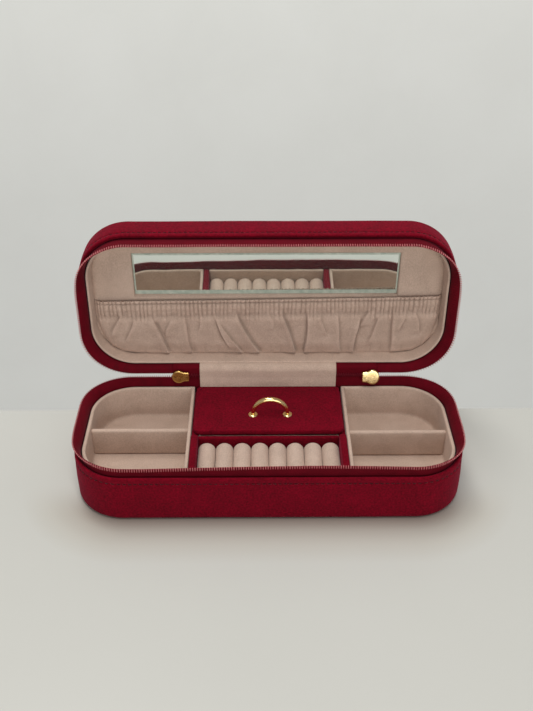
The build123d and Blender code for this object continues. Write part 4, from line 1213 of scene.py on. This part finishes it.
# the pocket stands off the panel in the middle and is tucked into the seam at its edge
edge_in = np.sqrt(np.clip((total - depth) / (2.4 * MM), 0, 1))
side_in = np.sqrt(np.clip((97.9 * MM - np.abs(X)) / (2.4 * MM), 0, 1))
stand = 0.7 * MM + 1.5 * MM * sstep(total - depth, 0, 10 * MM) * side_in
Q = 8.35 * MM - (stand + np.maximum(out, -0.4 * MM)) * edge_in * (0.2 + 0.8 * side_in)
Q = np.minimum(Q, 8.4 * MM)
Xv = X + 0.0
front = np.stack([Xv, LID_Y + Q, Z], -1)
# top edge rolls over into the channel behind
hem = []
for kk, (dz, dq) in enumerate(((0.0, 0.35), (-0.5, 1.0), (-2.0, 1.2), (-5.0, 1.25), (-8.0, 1.2))):
    r_ = front[:, 0].copy()
    r_[:, 2] += dz * MM + (0.25 * MM if kk == 0 else 0)
    r_[:, 1] = np.minimum(r_[:, 1] + dq * MM, LID_Y + 8.28 * MM)
    hem.append(r_)
allp = np.concatenate([np.stack(hem[::-1], 1), front], 1)
nh = allp.shape[1]
def blur(Aq, n):
    for _ in range(n):
        Aq = 0.25 * np.roll(Aq, 1, 0) + 0.5 * Aq + 0.25 * np.roll(Aq, -1, 0)
        Aq[:, 1:-1] = 0.25 * Aq[:, :-2] + 0.5 * Aq[:, 1:-1] + 0.25 * Aq[:, 2:]
    return Aq


# painted shade and highlight: where the cloth lies deeper than its smoothed surroundings its colour is darkened by up
# to 30 %, and on raised folds it is lightened by up to about 10 %
fold_hollow_shade = np.clip((Q - blur(Q.copy(), 40)) / (0.55 * MM), -0.35, 1.0)
fold_hollow_shade = np.concatenate([np.repeat(fold_hollow_shade[:, :1], len(hem), 1), fold_hollow_shade], 1)
pocket = make("pocket_gathered_cloth", allp.reshape(-1, 3), grid_faces(NXP, nh), POCKET, "lid", ["pocket_fabric", "pocket_elastic"], fix=False)
if sum(pocket.data.polygons[i].normal.y for i in range(2000, 4000)) > 0:
    pocket.data.flip_normals()
# the painted fold shade is stored per point and multiplied into the pocket's colour below
att = pocket.data.attributes.new("fold_shade", "FLOAT", "POINT")
att.data.foreach_set("value", (1.0 - 0.30 * fold_hollow_shade.ravel()).astype(np.float32))
pn, pl_ = POCKET.node_tree.nodes, POCKET.node_tree.links
pb_ = pn["Principled BSDF"]
src = pb_.inputs["Base Color"].links[0].from_socket
at = pn.new("ShaderNodeAttribute")
at.attribute_name = "fold_shade"
mx = pn.new("ShaderNodeMix")
mx.data_type = "RGBA"
mx.blend_type = "MULTIPLY"
mx.inputs[0].default_value = 1.0
pl_.new(src, mx.inputs[6])
pl_.new(at.outputs["Color"], mx.inputs[7])
pl_.new(mx.outputs[2], pb_.inputs["Base Color"])

# ------------------------------------------------------------------ what stays inside: boards, foam, screws
import bmesh
for node, mat in (("base_floor_board", BOARD), ("base_floor_foam", FOAM),
                  ("lid_back_board", BOARD), ("lid_back_foam", FOAM), ("mirror_backing", BOARD),
                  ("handle_screws", STEEL)):
    ob = bpy.data.objects.get(node)
    if ob is None:
        for o in bpy.data.objects:
            if o.name.split(".")[0] == node:
                ob = o
    if ob is not None and ob.type == "MESH":
        ob.data.materials.clear()
        ob.data.materials.append(mat)

# ------------------------------------------------------------------ stage, light and camera
def stage_mat(name, c0, c1, scale, rough, bump):
    m, n, l, b, tc = base_mat(name)
    t1 = noise_node(n, l, tc, scale, 6.0, 0.6, 0.2)
    t2 = noise_node(n, l, tc, scale * 60, 3.0, 0.6)
    c = ramp(n, l, t1.outputs["Fac"], [(0.35, c0), (0.65, c1)])
    l.new(c.outputs["Color"], b.inputs["Base Color"])
    b.inputs["Roughness"].default_value = rough
    b.inputs["Specular IOR Level"].default_value = 0.25
    bump_chain(n, l, b, [(t1.outputs["Fac"], bump, 0.002), (t2.outputs["Fac"], bump, 0.0002)])
    return m


FLOOR_M = stage_mat("stage_table", (0.555, 0.55, 0.51), (0.58, 0.575, 0.535), 2.0, 0.30, 0.03)


def painted_contact_shadow(m):
    """Painted contact shadow: the table top's colour is made a little darker and warmer in the narrow strip just in
    front of the case's foot.
    """
    n, l = m.node_tree.nodes, m.node_tree.links
    b = n["Principled BSDF"]
    src = b.inputs["Base Color"].links[0].from_socket
    tc = n.new("ShaderNodeTexCoord")
    sp = n.new("ShaderNodeSeparateXYZ")
    l.new(tc.outputs["Object"], sp.inputs[0])

    def mth(op, a, c):
        q = n.new("ShaderNodeMath")
        q.operation = op
        for i, v in enumerate((a, c)):
            if v is None:
                continue
            if isinstance(v, float):
                q.inputs[i].default_value = v
            else:
                l.new(v, q.inputs[i])
        return q.outputs[0]

    # distance from the rounded outline of the foot, measured outwards
    ax = mth("MAXIMUM", mth("SUBTRACT", mth("ABSOLUTE", sp.outputs["X"], None), 0.0750), 0.0)
    ay = mth("MAXIMUM", mth("SUBTRACT", mth("ABSOLUTE", sp.outputs["Y"], None), 0.0150), 0.0)
    d = mth("SUBTRACT", mth("SQRT", mth("ADD", mth("MULTIPLY", ax, ax), mth("MULTIPLY", ay, ay)), None), 0.0265)
    # painted shadow colour: dark and warm at the foot, fading to the plain table colour about 33 mm out
    r = ramp(n, l, mth("MULTIPLY", d, 30.0), [(0.0, (0.46, 0.39, 0.36)), (0.12, (0.62, 0.55, 0.51)), (0.32, (0.80, 0.755, 0.715)),
                                               (0.62, (0.925, 0.90, 0.87)), (1.0, (1.0, 1.0, 1.0))])
    # the painted shadow is laid only on the front side, fading in from y = -12 mm to y = -43 mm
    f = n.new("ShaderNodeMapRange")
    f.interpolation_type = "SMOOTHSTEP"
    f.inputs["From Min"].default_value = -0.012
    f.inputs["From Max"].default_value = -0.043
    l.new(sp.outputs["Y"], f.inputs["Value"])
    c = mix(n, l, (1.0, 1.0, 1.0), r.outputs["Color"], f.outputs["Result"])
    l.new(mix(n, l, src, c, 1.0, "MULTIPLY"), b.inputs["Base Color"])


painted_contact_shadow(FLOOR_M)
WALL_M = stage_mat("stage_wall", (0.70, 0.695, 0.65), (0.74, 0.735, 0.69), 5.0, 0.8, 0.16)


def plane(name, corners, mat):
    me = bpy.data.meshes.new(name)
    me.from_pydata(corners, [], [(0, 1, 2, 3)])
    me.materials.append(mat)
    ob = bpy.data.objects.new(name, me)
    bpy.context.scene.collection.objects.link(ob)
    return ob


floor = plane("stage_floor", [(-1.6, -1.6, 0), (1.6, -1.6, 0), (1.6, 0.0553, 0), (-1.6, 0.0515, 0)], FLOOR_M)
floor_edge = plane("stage_floor_edge", [(-1.6, 0.0515, 0), (1.6, 0.0553, 0), (1.6, 0.0553, -0.03), (-1.6, 0.0515, -0.03)], FLOOR_M)
wall = plane("stage_wall", [(-4.0, 1.45, -2.2), (4.0, 1.45, -2.2), (4.0, 1.45, 3.0), (-4.0, 1.45, 3.0)], WALL_M)
wall_b = WALL_M.node_tree.nodes["Principled BSDF"]
wall_b.inputs["Emission Color"].default_value = (0.60, 0.595, 0.55, 1)
wall_b.inputs["Emission Strength"].default_value = 0.46

LIGHTS = []


def area(name, loc, target, size, power, color):
    d = bpy.data.lights.new(name, "AREA")
    d.shape = "RECTANGLE"
    d.size, d.size_y = size
    d.energy = power
    d.color = color
    o = bpy.data.objects.new(name, d)
    bpy.context.scene.collection.objects.link(o)
    o.location = loc
    o.rotation_euler = (Vector(target) - Vector(loc)).to_track_quat("-Z", "Y").to_euler()
    LIGHTS.append(o)
    return o


key = area("soft_overhead", (-0.1, -0.10, 1.25), (0, -0.06, 0.0), (1.5, 0.30), 12.0, (1.0, 0.985, 0.955))
fill = area("soft_front", (0.25, -1.9, 0.50), (0, 0.0, 0.08), (1.8, 0.8), 13.5, (1.0, 0.99, 0.96))

world = bpy.data.worlds.new("soft_room")
bpy.context.scene.world = world
world.use_nodes = True
wn, wl = world.node_tree.nodes, world.node_tree.links
bg = wn["Background"]
bg.inputs["Color"].default_value = (0.90, 0.93, 0.98, 1)
bg.inputs["Strength"].default_value = 0.36

bpy.context.scene.view_settings.view_transform = "Standard"

cam_d = bpy.data.cameras.new("camera")
cam_d.sensor_fit = "AUTO"
cam_d.sensor_width = 36.0
cam_d.lens = 947.0 * 36.0 / 711.0
cam_d.clip_start = 0.01
cam = bpy.data.objects.new("camera", cam_d)
bpy.context.scene.collection.objects.link(cam)
p, yw, rl = math.radians(33.71), math.radians(0.49), math.radians(0.07)
Fw = Vector((math.sin(yw) * math.cos(p), math.cos(yw) * math.cos(p), -math.sin(p)))
R0 = Vector((math.cos(yw), -math.sin(yw), 0.0))
U0 = R0.cross(Fw)
Rv = math.cos(rl) * R0 + math.sin(rl) * U0
Uv = -math.sin(rl) * R0 + math.cos(rl) * U0
M = Matrix((( Rv.x, Uv.x, -Fw.x, -0.00470), (Rv.y, Uv.y, -Fw.y, -0.4115), (Rv.z, Uv.z, -Fw.z, 0.3499), (0, 0, 0, 1)))
cam.matrix_world = M
bpy.context.scene.camera = cam
